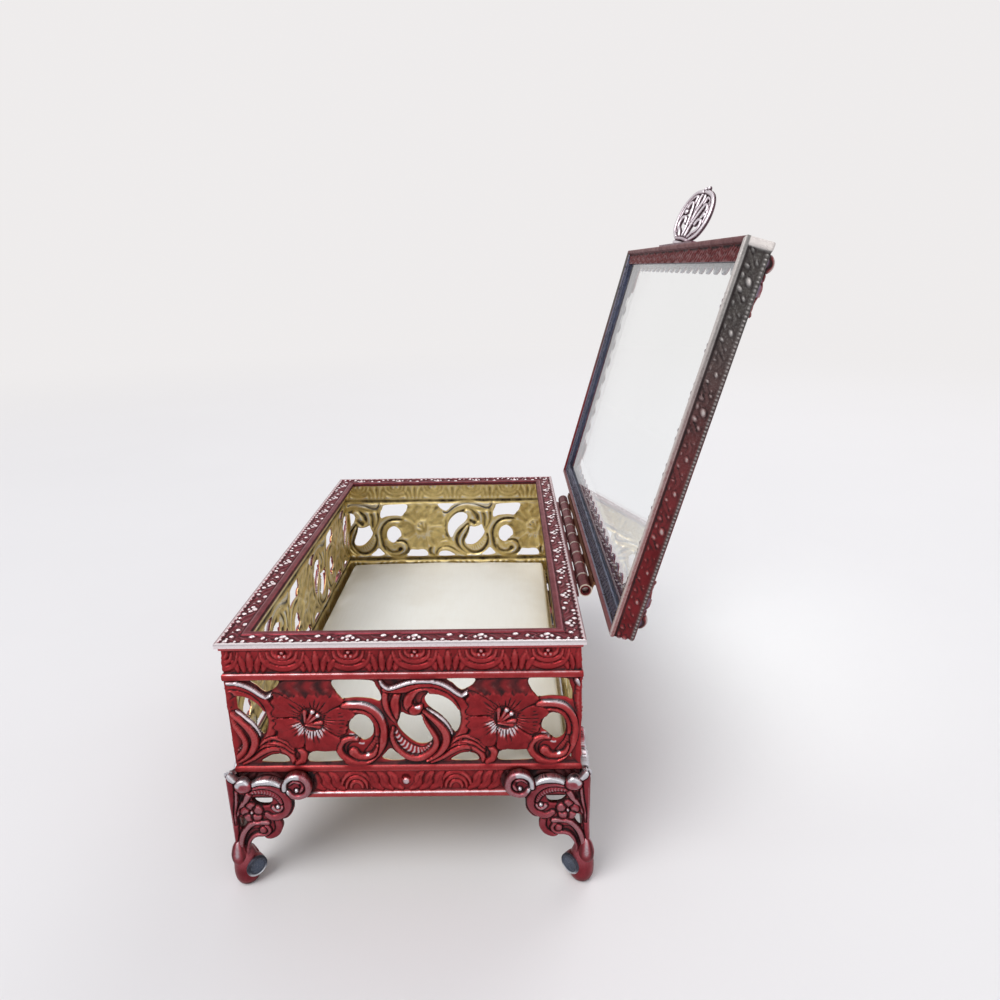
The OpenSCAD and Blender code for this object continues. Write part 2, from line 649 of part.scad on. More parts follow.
module lid_rail(s, length, across) {
    w = border_w + scallop_r;
    profile = [[roll_w / 4, 0], [0, roll_w / 4], [0, lip_line], [lip_depth, lip_line + lip_depth],
        [lip_depth, lid_t - lip_line - lip_depth], [0, lid_t - lip_line], [0, lid_t - 0.3], [0.3, lid_t],
        [border_w, lid_t], [border_w, lid_t - lid_wall], [lid_wall + lip_depth, lid_t - lid_wall],
        [lid_wall + lip_depth, roll_drop + lid_wall], [flange_w, roll_drop + lid_wall],
        [flange_w, roll_drop], [roll_w, roll_drop], [roll_w, roll_w / 4], [roll_w * 3 / 4, 0]];
    count = floor((length - 2 * w) / scallop_gap);
    clear_of_corners = length / 2 - corner_in - corner_arm - bead_r;
    color([0.33, 0.2, 0.2]) open_lid() translate([0, lid_mid, lid_z]) on_side(s) {
        mitred_strip(length, across, w, profile);
        for (x = [for (i = [0:count]) (i - count / 2) * scallop_gap])
            translate([x, -across / 2 + border_w - 0.5, lid_t - lid_wall]) {
                cylinder(h = lid_wall, r = scallop_r);
                if (abs(x) < clear_of_corners)
                    translate([0, 0, lid_wall]) cylinder(h = 0.5, r1 = bead_r, r2 = 0.5, $fn = 24);
            }
    }
}

module lid_rail_front() { lid_rail(FRONT, lid_l, lid_w); }
module lid_rail_right() { lid_rail(RIGHT, lid_w, lid_l); }
module lid_rail_back() { lid_rail(BACK, lid_l, lid_w); }
module lid_rail_left() { lid_rail(LEFT, lid_w, lid_l); }

// Section of the glass across a width w
module glass_section(w, length) {
    rotate([90, 0, 0]) linear_extrude(length, center = true)
        polygon([[-w / 2, 0], [w / 2, 0], [w / 2, glass_t - bevel_d], [w / 2 - bevel_w, glass_t],
            [-w / 2 + bevel_w, glass_t], [-w / 2, glass_t - bevel_d]]);
}

module lid_glass() {
    rim_wall = 2 * (lid_wall + lip_depth + glass_edge_gap);
    l = lid_l - rim_wall;
    w = lid_w - rim_wall;
    z = lid_z + roll_drop + lid_wall;
    color([0.8, 0.85, 0.85, 0.4]) open_lid() translate([0, lid_mid, z]) intersection() {
        glass_section(l, w);
        rotate([0, 0, 90]) glass_section(w, l);
    }
}

// Leaf ornament over the mitre at the corner +X, -Y of the lid
module corner_leaf() {
    translate([-corner_in, corner_in, 0]) {
        intersection() {
            sphere(r = corner_h);
            translate([0, 0, corner_h]) cube(2 * corner_h, center = true);
        }
        for (m = [0, 1])
            mirror([m, m, 0]) linear_extrude(corner_h * 0.45)
                stroke([[0, 0], [-corner_arm * 0.4, -0.8], [-corner_arm * 0.75, 0.3], [-corner_arm, -0.6]],
                    [1.8, 2.4, 0.5]);
    }
}

module lid_corner(mx, my) {
    color([0.4, 0.27, 0.26]) open_lid()
        translate([mx * lid_l / 2, lid_mid + my * lid_w / 2, lid_z + lid_t])
            mirror([mx > 0 ? 0 : 1, 0, 0]) mirror([0, my < 0 ? 0 : 1, 0]) corner_leaf();
}

module lid_corner_front_right() { lid_corner(1, -1); }
module lid_corner_front_left() { lid_corner(-1, -1); }
module lid_corner_back_right() { lid_corner(1, 1); }
module lid_corner_back_left() { lid_corner(-1, 1); }

// ---------------------------------------------------------------- thumb lift

// Half of the openwork shell, from its stem to its tip, as shares of its width and its length
TAB_RIM = [[0.18, 0.08], [0.36, 0.19], [0.45, 0.36], [0.455, 0.55], [0.38, 0.73], [0.24, 0.85], [0, 0.9]];
TAB_LOOP = [[0.05, 0.05], [0.05, 0.28], [0.12, 0.52], [0.2, 0.68], [0.29, 0.66], [0.31, 0.54]];
TAB_CURL = [[0.1, 0.05], [0.2, 0.2], [0.33, 0.29], [0.32, 0.42], [0.22, 0.44], [0.17, 0.36]];

// Places points on the right half of the lift, or on its left half when m is -1
function on_tab(points, m) = [for (p = points) [m * p.x * tab_w, p.y * tab_l]];

module tab_bar(points, m, w) {
    linear_extrude(tab_t, center = true) stroke(on_tab(points, m), w);
}

module tab_shell() {
    for (m = [-1, 1]) {
        tab_bar(TAB_RIM, m, [1.3, 1.5, 1.5]);
        tab_bar(TAB_LOOP, m, [1.0, 0.9, 1.1]);
        tab_bar(TAB_CURL, m, [1.0, 1.1, 1.0]);
    }
    translate([0, tab_l * 0.94, 0]) cylinder(h = tab_t, r = 0.8, center = true);
    translate([-tab_w * 0.22, -tab_l * 0.06, -tab_t / 2]) cube([tab_w * 0.44, tab_l * 0.2, tab_t]);
}

module on_front_of_lid() {
    open_lid() translate([0, lid_front, lid_z + lid_t / 2]) children();
}

module tab_foot() {
    r = tab_foot_w / 2;
    color([0.45, 0.4, 0.42]) on_front_of_lid() rotate([90, 0, 0]) linear_extrude(tab_foot_t) union() {
        square([tab_foot_l - tab_foot_w, tab_foot_w], center = true);
        for (m = [-1, 1])
            translate([m * (tab_foot_l / 2 - r), 0]) circle(r = r);
    }
}

// The shell, cut off flat where it stands on its strip
module thumb_tab() {
    color([0.55, 0.5, 0.52]) on_front_of_lid() intersection() {
        translate([0, -tab_foot_t, 0]) rotate([-tab_tilt, 0, 0]) rotate([0, -tab_turn, 0])
            rotate([180, 0, 0]) tab_shell();
        translate([-tab_w, -tab_foot_t - 2 * tab_l, -tab_w]) cube([2 * tab_w, 2 * tab_l, 2 * tab_w]);
    }
}

panel_front();
panel_right();
panel_back();
panel_left();
rim_front();
rim_right();
rim_back();
rim_left();
base_plate();
lining_card();
lining_pad();
leg_front_right();
leg_front_left();
leg_back_right();
leg_back_left();
hinge_leaf_body();
hinge_pin();
hinge_leaf_lid();
lid_rail_front();
lid_rail_right();
lid_rail_back();
lid_rail_left();
lid_corner_front_right();
lid_corner_front_left();
lid_corner_back_right();
lid_corner_back_left();
lid_glass();
tab_foot();
thumb_tab();
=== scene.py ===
"""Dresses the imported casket: stamped and pierced metal, cast legs, bevelled glass and a satin pad.

Lengths inside this script are millimetres in the frame's axes. They turn into metres when a mesh
is made. Those of nodes, lamps and the camera are in metres.
"""

import math

import bmesh
import bpy
import numpy as np
from mathutils import Matrix, Vector

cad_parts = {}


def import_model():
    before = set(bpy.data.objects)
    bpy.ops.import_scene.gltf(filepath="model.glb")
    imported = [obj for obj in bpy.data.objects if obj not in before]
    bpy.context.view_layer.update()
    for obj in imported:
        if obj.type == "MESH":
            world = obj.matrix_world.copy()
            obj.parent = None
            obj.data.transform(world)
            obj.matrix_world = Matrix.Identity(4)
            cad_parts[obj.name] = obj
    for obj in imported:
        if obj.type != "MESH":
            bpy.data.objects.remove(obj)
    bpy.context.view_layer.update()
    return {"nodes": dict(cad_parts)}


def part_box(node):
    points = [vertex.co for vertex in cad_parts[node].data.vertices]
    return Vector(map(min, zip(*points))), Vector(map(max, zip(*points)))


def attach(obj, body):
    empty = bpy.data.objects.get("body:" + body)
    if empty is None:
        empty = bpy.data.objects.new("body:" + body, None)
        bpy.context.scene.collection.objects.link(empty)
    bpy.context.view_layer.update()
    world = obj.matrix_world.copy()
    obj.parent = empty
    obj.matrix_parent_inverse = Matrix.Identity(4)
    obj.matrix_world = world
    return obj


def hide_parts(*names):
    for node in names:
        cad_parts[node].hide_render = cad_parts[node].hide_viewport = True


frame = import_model()

MM = 0.001
SHARP_ANGLE = math.radians(50)  # edges that turn more than this stay sharp
FRONT, RIGHT, BACK, LEFT = range(4)
SIDE_NAMES = ("front", "right", "back", "left")
CORNERS = [(mx, my) for mx in (-1, 1) for my in (-1, 1)]


def node_box(node):
    """Lowest and highest corner of a CAD node, in millimetres."""
    low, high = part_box(node)
    return np.array(low) / MM, np.array(high) / MM


# ---------------------------------------------------------------- sizes
# From the frame where it has them.

PANEL_LOW, PANEL_HIGH = node_box("panel_front")
STAND_H = PANEL_LOW[2]
PANEL_H = PANEL_HIGH[2] - STAND_H
PANEL_L = PANEL_HIGH[0] - PANEL_LOW[0]
PANEL_W = -2 * PANEL_LOW[1]
PANEL_T = 1.7
SHEET_T = 0.7
LIP_H = 1.6
LEAF_Y = LIP_H
LOW_RAIL_Y = 6.7
PIERCED_Y = 8.5
HIGH_RAIL_Y = 29.4
FAN_Y = 31.2
FASCIA_Y = 36.4
REPEAT = 41.1
END_MARGIN = 1.6
FIRST_FLOWER = {
    FRONT: PANEL_L / 2 - REPEAT,
    RIGHT: PANEL_W / 2 - REPEAT / 2 + 0.4,
    BACK: PANEL_L / 2 - REPEAT,
    LEFT: PANEL_W / 2 - REPEAT * 0.78,
}

RIM_LOW, RIM_HIGH = node_box("rim_front")
BOX_L = RIM_HIGH[0] - RIM_LOW[0]
BOX_W = -2 * RIM_LOW[1]
RIM_Z = RIM_LOW[2]
RIM_W = RIM_HIGH[1] - RIM_LOW[1]
RIM_H = RIM_HIGH[2] - RIM_Z

LEG_T = 1.4
LEG_RELIEF = 0.6
LEG_W = 18.6
FOOT_OUT = 0.2  # from the panels' corner out to the middle of a foot
HEEL_OUT = 1.0
FOOT_R = 2.8
FOOT_H = 9.83
CURL_R = 2.4

PIN_LOW, PIN_HIGH = node_box("hinge_pin")
KNUCKLE_L = 7.0
HINGE_Y = (PIN_LOW[1] + PIN_HIGH[1]) / 2
HINGE_Z = (PIN_LOW[2] + PIN_HIGH[2]) / 2
OPEN_ANGLE = math.radians(105.4)
LID_L = 122.0
LID_FRONT = -40.2
LID_BACK = 37.8
LID_W = LID_BACK - LID_FRONT
LID_MID = (LID_FRONT + LID_BACK) / 2
LID_Z = 60.4
LID_T = 5.6


# ---------------------------------------------------------------- curves and heights


def curve(points, steps=5, closed=False):
    """Points on a smooth curve through the given ones."""
    p = np.array(points, float)
    n = len(p)
    i = np.arange(n if closed else n - 1)
    if closed:
        a, b, c, d = p[(i - 1) % n], p[i], p[(i + 1) % n], p[(i + 2) % n]
    else:
        a, b, c, d = p[np.maximum(i - 1, 0)], p[i], p[i + 1], p[np.minimum(i + 2, n - 1)]
    t = (np.arange(steps) / steps)[None, :, None]
    a, b, c, d = (q[:, None, :] for q in (a, b, c, d))
    bend, twist = 2 * a - 5 * b + 4 * c - d, 3 * b - a - 3 * c + d
    out = 0.5 * (2 * b + (c - a) * t + bend * t**2 + twist * t**3)
    out = out.reshape(-1, p.shape[1])
    return out if closed else np.vstack([out, p[-1:]])


def even(length, step):
    """Places from 0 to length, about a step apart."""
    return np.linspace(0, length, round(length / step) + 1)


def moved(points, dx, dy):
    return [(x + dx, y + dy) for x, y in points]


def polar(centre, radius, degrees):
    """The point at an angle on a circle."""
    t = math.radians(degrees)
    return centre[0] + radius * math.cos(t), centre[1] + radius * math.sin(t)


def ease(t):
    """From 0 to 1 with soft ends."""
    t = np.clip(t, 0, 1)
    return t * t * (3 - 2 * t)


def blur(field, cells):
    """A field averaged three times over a square of that many cells."""
    k = max(1, int(round(cells)))
    for _ in range(3):
        for axis in (0, 1):
            pad = [(0, 0), (0, 0)]
            pad[axis] = (k + 1, k)
            total = np.cumsum(np.pad(field, pad, mode="edge"), axis=axis)
            n = field.shape[axis]
            after = np.take(total, np.arange(2 * k + 1, 2 * k + 1 + n), axis=axis)
            before = np.take(total, np.arange(n), axis=axis)
            field = (after - before) / (2 * k + 1)
    return field


class Relief:
    """Heights over the grid x by y, with painted highlights and wear, and painted shade and soot.

    open is the distance to the nearest opening and cover that to the edge of what is drawn, above
    0 inside it. line is how deep the cut line round each shape is. period repeats everything that
    is drawn along x.
    """

    def __init__(self, x, y, ground, period=None, line=0.26):
        self.x, self.y = np.asarray(x, float), np.asarray(y, float)
        self.ground, self.line = ground, line
        shape = (len(self.y), len(self.x))
        self.h = np.full(shape, float(ground))
        self.shine = np.zeros(shape)
        self.soot_and_shade = np.zeros(shape)
        self.open = np.full(shape, 1e3)
        self.cover = np.full(shape, -1e3)
        self.shifts = (0,) if period is None else (-period, 0, period)

    def windows(self, low, high):
        """The grid inside a box, once for each repeat: its slices and its points, moved back."""
        for shift in self.shifts:
            cols = slice(*np.searchsorted(self.x, (low[0] + shift, high[0] + shift)))
            rows = slice(*np.searchsorted(self.y, (low[1], high[1])))
            if cols.start < cols.stop and rows.start < rows.stop:
                yield (rows, cols), *np.meshgrid(self.x[cols] - shift, self.y[rows])

    def along(self, points, widths):
        """For a stroke, near it: slices, distance, half width, and place from 0 to 1 along it."""
        path = curve(points)
        half = half_widths(len(path), widths)
        reach = half.max() + 0.4
        for part, gx, gy in self.windows(path.min(0) - reach, path.max(0) + reach):
            best = np.full(gx.shape, 1e9)
            dist, wide, where = np.full(gx.shape, 1e3), np.ones(gx.shape), np.zeros(gx.shape)
            for k in range(len(path) - 1):
                d = path[k + 1] - path[k]
                t = np.clip(((gx - path[k, 0]) * d[0] + (gy - path[k, 1]) * d[1]) / (d @ d), 0, 1)
                away = np.hypot(gx - path[k, 0] - t * d[0], gy - path[k, 1] - t * d[1])
                w = half[k] + (half[k + 1] - half[k]) * t
                near = away / w < best
                best = np.where(near, away / w, best)
                dist, wide = np.where(near, away, dist), np.where(near, w, wide)
                where = np.where(near, (k + t) / (len(path) - 1), where)
            yield part, dist, wide, where

    def lay(self, part, top, on, edge, shine):
        """Puts a shape over what is there, with a cut line along its edge."""
        self.h[part] = np.where(on, top, self.h[part]) - self.line * ease(1 - np.abs(edge) / 0.27)
        self.shine[part] = np.where(on, shine, self.shine[part])
        self.soot_and_shade[part] = np.where(on, 0, self.soot_and_shade[part])
        self.cover[part] = np.maximum(self.cover[part], edge)

    def scroll(self, points, widths, height, shine=0.0, ribs=0, flat=0.4):
        """A rounded band. ribs cuts it into that many cross ribs."""
        for part, dist, wide, where in self.along(points, widths):
            q = dist / wide
            dome = np.clip(1 - q * q, 0, 1) ** flat
            rib = 1.0
            if ribs:
                rib = 0.5 + 0.5 * np.cos(2 * math.pi * (where * ribs + 0.45 * q))
                dome = dome * (0.45 + 0.55 * rib)
            worn_and_highlit = shine * np.minimum(1.3 * dome, 1) * rib
            self.lay(part, self.ground + height * dome, q < 1, wide - dist, worn_and_highlit)

    def groove(self, points, width, depth):
        """A line cut into what is there."""
        for part, dist, wide, _ in self.along(points, width):
            cut = ease(1 - dist / wide)
            self.h[part] -= depth * cut
            self.shine[part] *= 1 - cut

    def polish(self, points, widths, shine):
        """Brightens what is there along a line: a painted highlight on worn silver."""
        for part, dist, wide, where in self.along(points, widths):
            ends = ease(6 * np.minimum(where, 1 - where) + 0.1)
            worn_and_highlit = shine * ends * ease(1.15 * (1 - dist / wide))
            self.shine[part] = np.maximum(self.shine[part], worn_and_highlit)

    def boss(self, centre, r, height, shine=0.0, squeeze=1.0, turn=0.0):
        """A rounded knob; squeeze makes it an oval, turned by an angle in degrees."""
        c, a = np.array(centre, float), math.radians(turn)
        for part, gx, gy in self.windows(c - r - 0.4, c + r + 0.4):
            px, py = gx - c[0], gy - c[1]
            along, across = px * math.cos(a) + py * math.sin(a), py * math.cos(a) - px * math.sin(a)
            q = np.hypot(along, across * squeeze) / r
            dome = np.clip(1 - q * q, 0, 1) ** 0.5
            self.lay(part, self.ground + height * dome, q < 1, r * (1 - q), shine * dome)

    def dish(self, centre, r, depth, squeeze=1.0):
        """A round hollow in what is there."""
        c = np.array(centre, float)
        for part, gx, gy in self.windows(c - r * 1.2, c + r * 1.2):
            q = np.hypot(gx - c[0], (gy - c[1]) * squeeze) / r
            cut = ease(1.8 * (1 - q))
            self.h[part] -= depth * cut
            self.shine[part] *= 1 - cut

    def plate(self, outline, height, round_off=0.9):
        """A leaf or petal that swells from its edge inwards."""
        path = curve(outline, 4, closed=True)
        for part, gx, gy in self.windows(path.min(0) - 0.6, path.max(0) + 0.6):
            inside = signed_distance(gx, gy, path)
            top = self.ground + height * (0.6 + 0.4 * ease(inside / round_off))
            self.lay(part, top, inside > 0, inside, 0.0)

    def hole(self, outline):
        """An opening right through."""
        path = curve(outline, closed=True)
        for part, gx, gy in self.windows(path.min(0) - 2, path.max(0) + 2):
            self.open[part] = np.minimum(self.open[part], -signed_distance(gx, gy, path))


def half_widths(n, widths):
    """Half widths along a stroke, from its width at the start, the middle and the end."""
    if np.isscalar(widths):
        return np.full(n, widths / 2)
    t = np.linspace(0, 1, n)
    swell = np.sin(math.pi * t)
    ends = np.where(t < 0.5, widths[0], widths[2])
    return (ends + (widths[1] - ends) * swell) / 2


def signed_distance(gx, gy, path):
    """Distance to a closed outline, above 0 inside it."""
    away = np.full(gx.shape, 1e9)
    inside = np.zeros(gx.shape, bool)
    for a, b in zip(path, np.roll(path, -1, axis=0)):
        d = b - a
        length2 = d @ d
        if length2 < 1e-12:
            continue
        t = np.clip(((gx - a[0]) * d[0] + (gy - a[1]) * d[1]) / length2, 0, 1)
        away = np.minimum(away, np.hypot(gx - a[0] - t * d[0], gy - a[1] - t * d[1]))
        crosses = (a[1] > gy) != (b[1] > gy)
        with np.errstate(divide="ignore", invalid="ignore"):
            at = a[0] + (gy - a[1]) * d[0] / d[1]
        inside ^= crosses & (gx < at)
    return np.where(inside, away, -away)


# ---------------------------------------------------------------- meshes


def put(name, data):
    """A new object in the scene."""
    piece = bpy.data.objects.new(name, data)
    bpy.context.scene.collection.objects.link(piece)
    return piece


def dress(node, made, body, metal, parts):
    """Puts a metal mesh in a CAD node's place, from its vertices, faces and layers."""
    vertices, faces, layers = parts
    mesh = bpy.data.meshes.new(f"{node}_{made}")
    mesh.from_pydata((np.asarray(vertices) * MM).tolist(), [], [tuple(f) for f in faces])
    mesh.validate()
    for layer, values in layers.items():
        attribute = mesh.attributes.new(layer, "FLOAT", "POINT")
        attribute.data.foreach_set("value", np.asarray(values, np.float32))
    mesh.shade_smooth()
    mesh.set_sharp_from_angle(angle=SHARP_ANGLE)
    mesh.materials.append(METAL[metal])
    piece = put(mesh.name, mesh)
    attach(piece, body)
    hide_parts(node)


def sheet_parts(u, v, outer, inner, inside, place, edge_drop=0.0, shine=0.0, soot_and_shade=0.0, tint=0.0,
                reverse=0.0, hollow_dark=1.0, edge_reach=0.4):
    """Vertices, faces and layers of a sheet between two heights, open where inside is below 0.

    Points next to an opening are moved onto its edge, and a wall joins the two faces there. Its
    layers: patina and painted shade, from how far a point lies below those around it, scaled by
    the share given for hollows, and the soot and painted shade given; wear and painted highlights,
    from how far it stands out and from the shine given; a second tone, which on the lid is a
    painted reflection; and inside, the finish of the reverse, where reverse puts it on the outer
    face too.
    """
    rows, cols = outer.shape
    gu, gv = np.meshgrid(u, v)
    gu, gv = gu.copy(), gv.copy()
    middle = (inside[:-1, :-1] + inside[:-1, 1:] + inside[1:, :-1] + inside[1:, 1:]) / 4
    keep = middle > 0
    touching = np.zeros((rows, cols), bool)
    lost = np.zeros((rows, cols), bool)
    for di in (0, 1):
        for dj in (0, 1):
            corner = (slice(di, rows - 1 + di), slice(dj, cols - 1 + dj))
            touching[corner] |= keep
            lost[corner] |= ~keep
    edge = touching & lost
    slope_v, slope_u = np.gradient(inside, v, u)
    steep = np.maximum(slope_u**2 + slope_v**2, 0.05)
    step = 0.75 * max(np.diff(u).max(), np.diff(v).max())
    gu[edge] -= np.clip(inside * slope_u / steep, -step, step)[edge]
    gv[edge] -= np.clip(inside * slope_v / steep, -step, step)[edge]
    gu, gv = np.clip(gu, u[0], u[-1]), np.clip(gv, v[0], v[-1])
    left = np.where(edge, 0, np.maximum(inside, 0))
    fall = ease(1 - left / edge_reach)
    top = outer - edge_drop * fall
    lift = np.minimum(edge_drop * 0.5, np.maximum(top - inner, 0) * 0.3)
    bottom = inner + lift * fall
    points = np.concatenate([place(gu, gv, h).reshape(-1, 3) for h in (top, bottom)])
    index = np.arange(rows * cols).reshape(rows, cols)
    far = rows * cols
    a, b = index[:-1, :-1][keep], index[:-1, 1:][keep]
    c, d = index[1:, 1:][keep], index[1:, :-1][keep]
    faces = [np.stack([a, b, c, d], 1), np.stack([d, c, b, a], 1) + far]
    padded = np.pad(keep, 1)
    neighbours = (padded[:-2, 1:-1], padded[1:-1, 2:], padded[2:, 1:-1], padded[1:-1, :-2])
    corners = (index[:-1, :-1], index[:-1, 1:], index[1:, 1:], index[1:, :-1])
    for k, beside in enumerate(neighbours):
        open_here = keep & ~beside
        p, q = corners[k][open_here], corners[(k + 1) % 4][open_here]
        faces.append(np.stack([q, p, p + far, q + far], 1))
    faces = np.concatenate(faces)
    used, numbered = np.unique(faces, return_inverse=True)
    cells = 1 / max(np.diff(u).mean(), 1e-6)
    lines = (blur(outer, 0.3 * cells) - outer - 0.012) / 0.09
    hollows = (blur(outer, 1.0 * cells) - outer - 0.08) / 0.35
    grime = np.maximum(np.clip(np.maximum(lines, hollows), 0, 1) * hollow_dark, soot_and_shade)
    wear = np.clip((outer - blur(outer, 0.45 * cells) - 0.05) / 0.3, 0, 0.4) + shine
    under = (inner - blur(inner, 0.7 * cells)) / 0.28
    worn_and_highlit = np.maximum(-under, 0.8 * np.broadcast_to(shine, outer.shape))
    tint = np.broadcast_to(tint, outer.shape).ravel()
    reverse = np.broadcast_to(reverse, outer.shape).ravel()
    layers = {
        "grime": np.concatenate([grime.ravel(), np.clip(under, 0, 1).ravel()])[used],
        "wear": np.concatenate([np.clip(wear, 0, 1).ravel(), np.clip(worn_and_highlit, 0, 1).ravel()])[used],
        "inside": np.concatenate([reverse, np.ones(far)])[used],
        "tint": np.concatenate([tint, tint])[used],
    }
    return points[used], numbered.reshape(-1, 4), layers


def joined(*parts):
    """Several (vertices, faces, layers) as one; a layer that a part lacks is 0 there."""
    vertices, faces, layers, start = [], [], {"grime": [], "wear": [], "inside": [], "tint": []}, 0
    for points, polygons, values in parts:
        vertices.append(np.asarray(points, float))
        polygons = polygons.tolist() if isinstance(polygons, np.ndarray) else polygons
        faces += [[i + start for i in f] for f in polygons]
        for name in layers:
            layers[name].append(np.asarray(values.get(name, np.zeros(len(points)))))
        start += len(points)
    return np.vstack(vertices), faces, {k: np.concatenate(x) for k, x in layers.items()}


def lathe(profile, size, matrix, layers, around=40):
    """A solid of revolution about Z, then moved by the matrix.

    The profile's (radius, height) points come lowest first, as shares of size. layers turns the
    points, before they are moved, into a dictionary of layers.
    """
    path = curve([(r * size[0], z * size[1]) for r, z in profile], 4)
    path[:, 0] = np.maximum(path[:, 0], 0.02)
    angle = np.linspace(0, 2 * math.pi, around, endpoint=False)
    ring = np.stack([np.cos(angle), np.sin(angle)], 1)
    points = np.concatenate([np.column_stack([ring * r, np.full(around, z)]) for r, z in path])
    turn = [(i, (i + 1) % around) for i in range(around)]
    last = (len(path) - 1) * around
    faces = [[k + i, k + j, k + around + j, k + around + i]
             for k in range(0, last, around) for i, j in turn]
    low, high = len(points), len(points) + 1
    for i, j in turn:
        faces += [[low, j, i], [high, last + i, last + j]]
    points = np.vstack([points, [[0, 0, path[0, 1]], [0, 0, path[-1, 1]]]])
    matrix = np.array(matrix)
    return points @ matrix[:3, :3].T + matrix[:3, 3], faces, layers(points)


def facing(side, along_x, along_y):
    """Length of a side, and how far the box reaches across it."""
    return (along_x, along_y) if side in (FRONT, BACK) else (along_y, along_x)


def at_corner(kind, mx, my):
    """Name of the node at the corner where x has the sign mx and y the sign my."""
    return f"{kind}_{'back' if my > 0 else 'front'}_{'right' if mx > 0 else 'left'}"


def turned(p, side):
    """Points drawn for the front, turned to another side of the box."""
    x, y, z = p[..., 0], p[..., 1], p[..., 2]
    return np.stack([(x, y, z), (-y, x, z), (-x, -y, z), (y, -x, z)][side], -1)


def opened(p):
    """Points on the closed lid, turned to where the lid stands open."""
    y, z = p[..., 1] - HINGE_Y, p[..., 2] - HINGE_Z
    c, s = math.cos(-OPEN_ANGLE), math.sin(-OPEN_ANGLE)
    return np.stack([p[..., 0], HINGE_Y + y * c - z * s, HINGE_Z + y * s + z * c], -1)


# ---------------------------------------------------------------- materials


class Nodes:
    """A material, or the world, under construction: short names for the nodes that they use."""

    def __init__(self, name, owner=None):
        self.material = owner or bpy.data.materials.new(name)
        self.material.use_nodes = True
        self.tree = self.material.node_tree
        if owner is None:
            self.shader = self.tree.nodes["Principled BSDF"]
            self.place = self.add("ShaderNodeTexCoord").outputs["Object"]

    def add(self, kind, **values):
        node = self.tree.nodes.new(kind)
        for key, value in values.items():
            setattr(node, key, value)
        return node

    def link(self, source, target):
        """Joins a socket to an input, or sets the input to a value."""
        if hasattr(source, "is_output"):
            self.tree.links.new(source, target)
        else:
            target.default_value = source
        return target

    def noise(self, scale, detail=4, rough=0.6, stretch=None):
        """Noise from 0 to 1 in the piece's own space, scale in cycles per metre."""
        node = self.add("ShaderNodeTexNoise")
        node.inputs["Scale"].default_value = scale
        node.inputs["Detail"].default_value = detail
        node.inputs["Roughness"].default_value = rough
        place = self.place
        if stretch:
            mapping = self.add("ShaderNodeMapping")
            mapping.inputs["Scale"].default_value = stretch
            self.link(place, mapping.inputs["Vector"])
            place = mapping.outputs["Vector"]
        self.link(place, node.inputs["Vector"])
        return node.outputs["Fac"]

    def layer(self, name):
        """A float layer of the mesh."""
        return self.add("ShaderNodeAttribute", attribute_name=name).outputs["Fac"]

    def math(self, kind, a, b=0.0, clamp=False):
        node = self.add("ShaderNodeMath", operation=kind, use_clamp=clamp)
        self.link(a, node.inputs[0])
        self.link(b, node.inputs[1])
        return node.outputs[0]

    def ramp(self, value, low, high):
        """From 0 at low to 1 at high, with soft ends."""
        node = self.add("ShaderNodeMapRange", interpolation_type="SMOOTHSTEP")
        self.link(value, node.inputs["Value"])
        node.inputs["From Min"].default_value = low
        node.inputs["From Max"].default_value = high
        return node.outputs["Result"]

    def mix(self, share, a, b):
        node = self.add("ShaderNodeMix", data_type="RGBA")
        self.link(share, node.inputs[0])
        for value, socket in ((a, node.inputs[6]), (b, node.inputs[7])):
            self.link((*value, 1) if isinstance(value, tuple) else value, socket)
        return node.outputs[2]

    def bump(self, height, strength, distance=0.0001, after=None):
        node = self.add("ShaderNodeBump")
        node.inputs["Strength"].default_value = strength
        node.inputs["Distance"].default_value = distance
        self.link(height, node.inputs["Height"])
        if after is not None:
            self.link(after, node.inputs["Normal"])
        return node.outputs["Normal"]

    def finish(self, **sockets):
        """Sets the shader's inputs, whose names have _ for each space."""
        for name, value in sockets.items():
            self.link(value, self.shader.inputs[name.replace("_", " ")])
        return self.material

    def plain(self, kind, colour):
        """A shader of one colour."""
        node = self.add(kind)
        node.inputs["Color"].default_value = (*colour, 1)
        return node

    def show(self, share, a, b):
        """Sends a mix of two shaders to the output."""
        either = self.add("ShaderNodeMixShader")
        for value, socket in zip((share, a.outputs[0], b.outputs[0]), either.inputs):
            self.link(value, socket)
        output = next(node for node in self.tree.nodes if "Surface" in node.inputs)
        self.link(either.outputs[0], output.inputs["Surface"])

    def seen_by_eye(self):
        """1 for what the camera sees, straight, in a reflection or through glass."""
        path = self.add("ShaderNodeLightPath").outputs
        bounced = self.math("MAXIMUM", path["Is Glossy Ray"], path["Is Transmission Ray"])
        return self.math("ADD", path["Is Camera Ray"], bounced, clamp=True)


def srgb(r, g, b):
    """A colour given as 0 to 255 on screen, as the linear value that shaders take."""
    return tuple(c / 255 / 12.92 if c <= 10 else ((c / 255 + 0.055) / 1.055) ** 2.4
                 for c in (r, g, b))


def scaled(tone, share):
    """A darker tone."""
    return tuple(share * c for c in tone)


def lighter(tone):
    """A paler and duller tone."""
    return tuple(0.85 * c + 0.13 for c in tone)


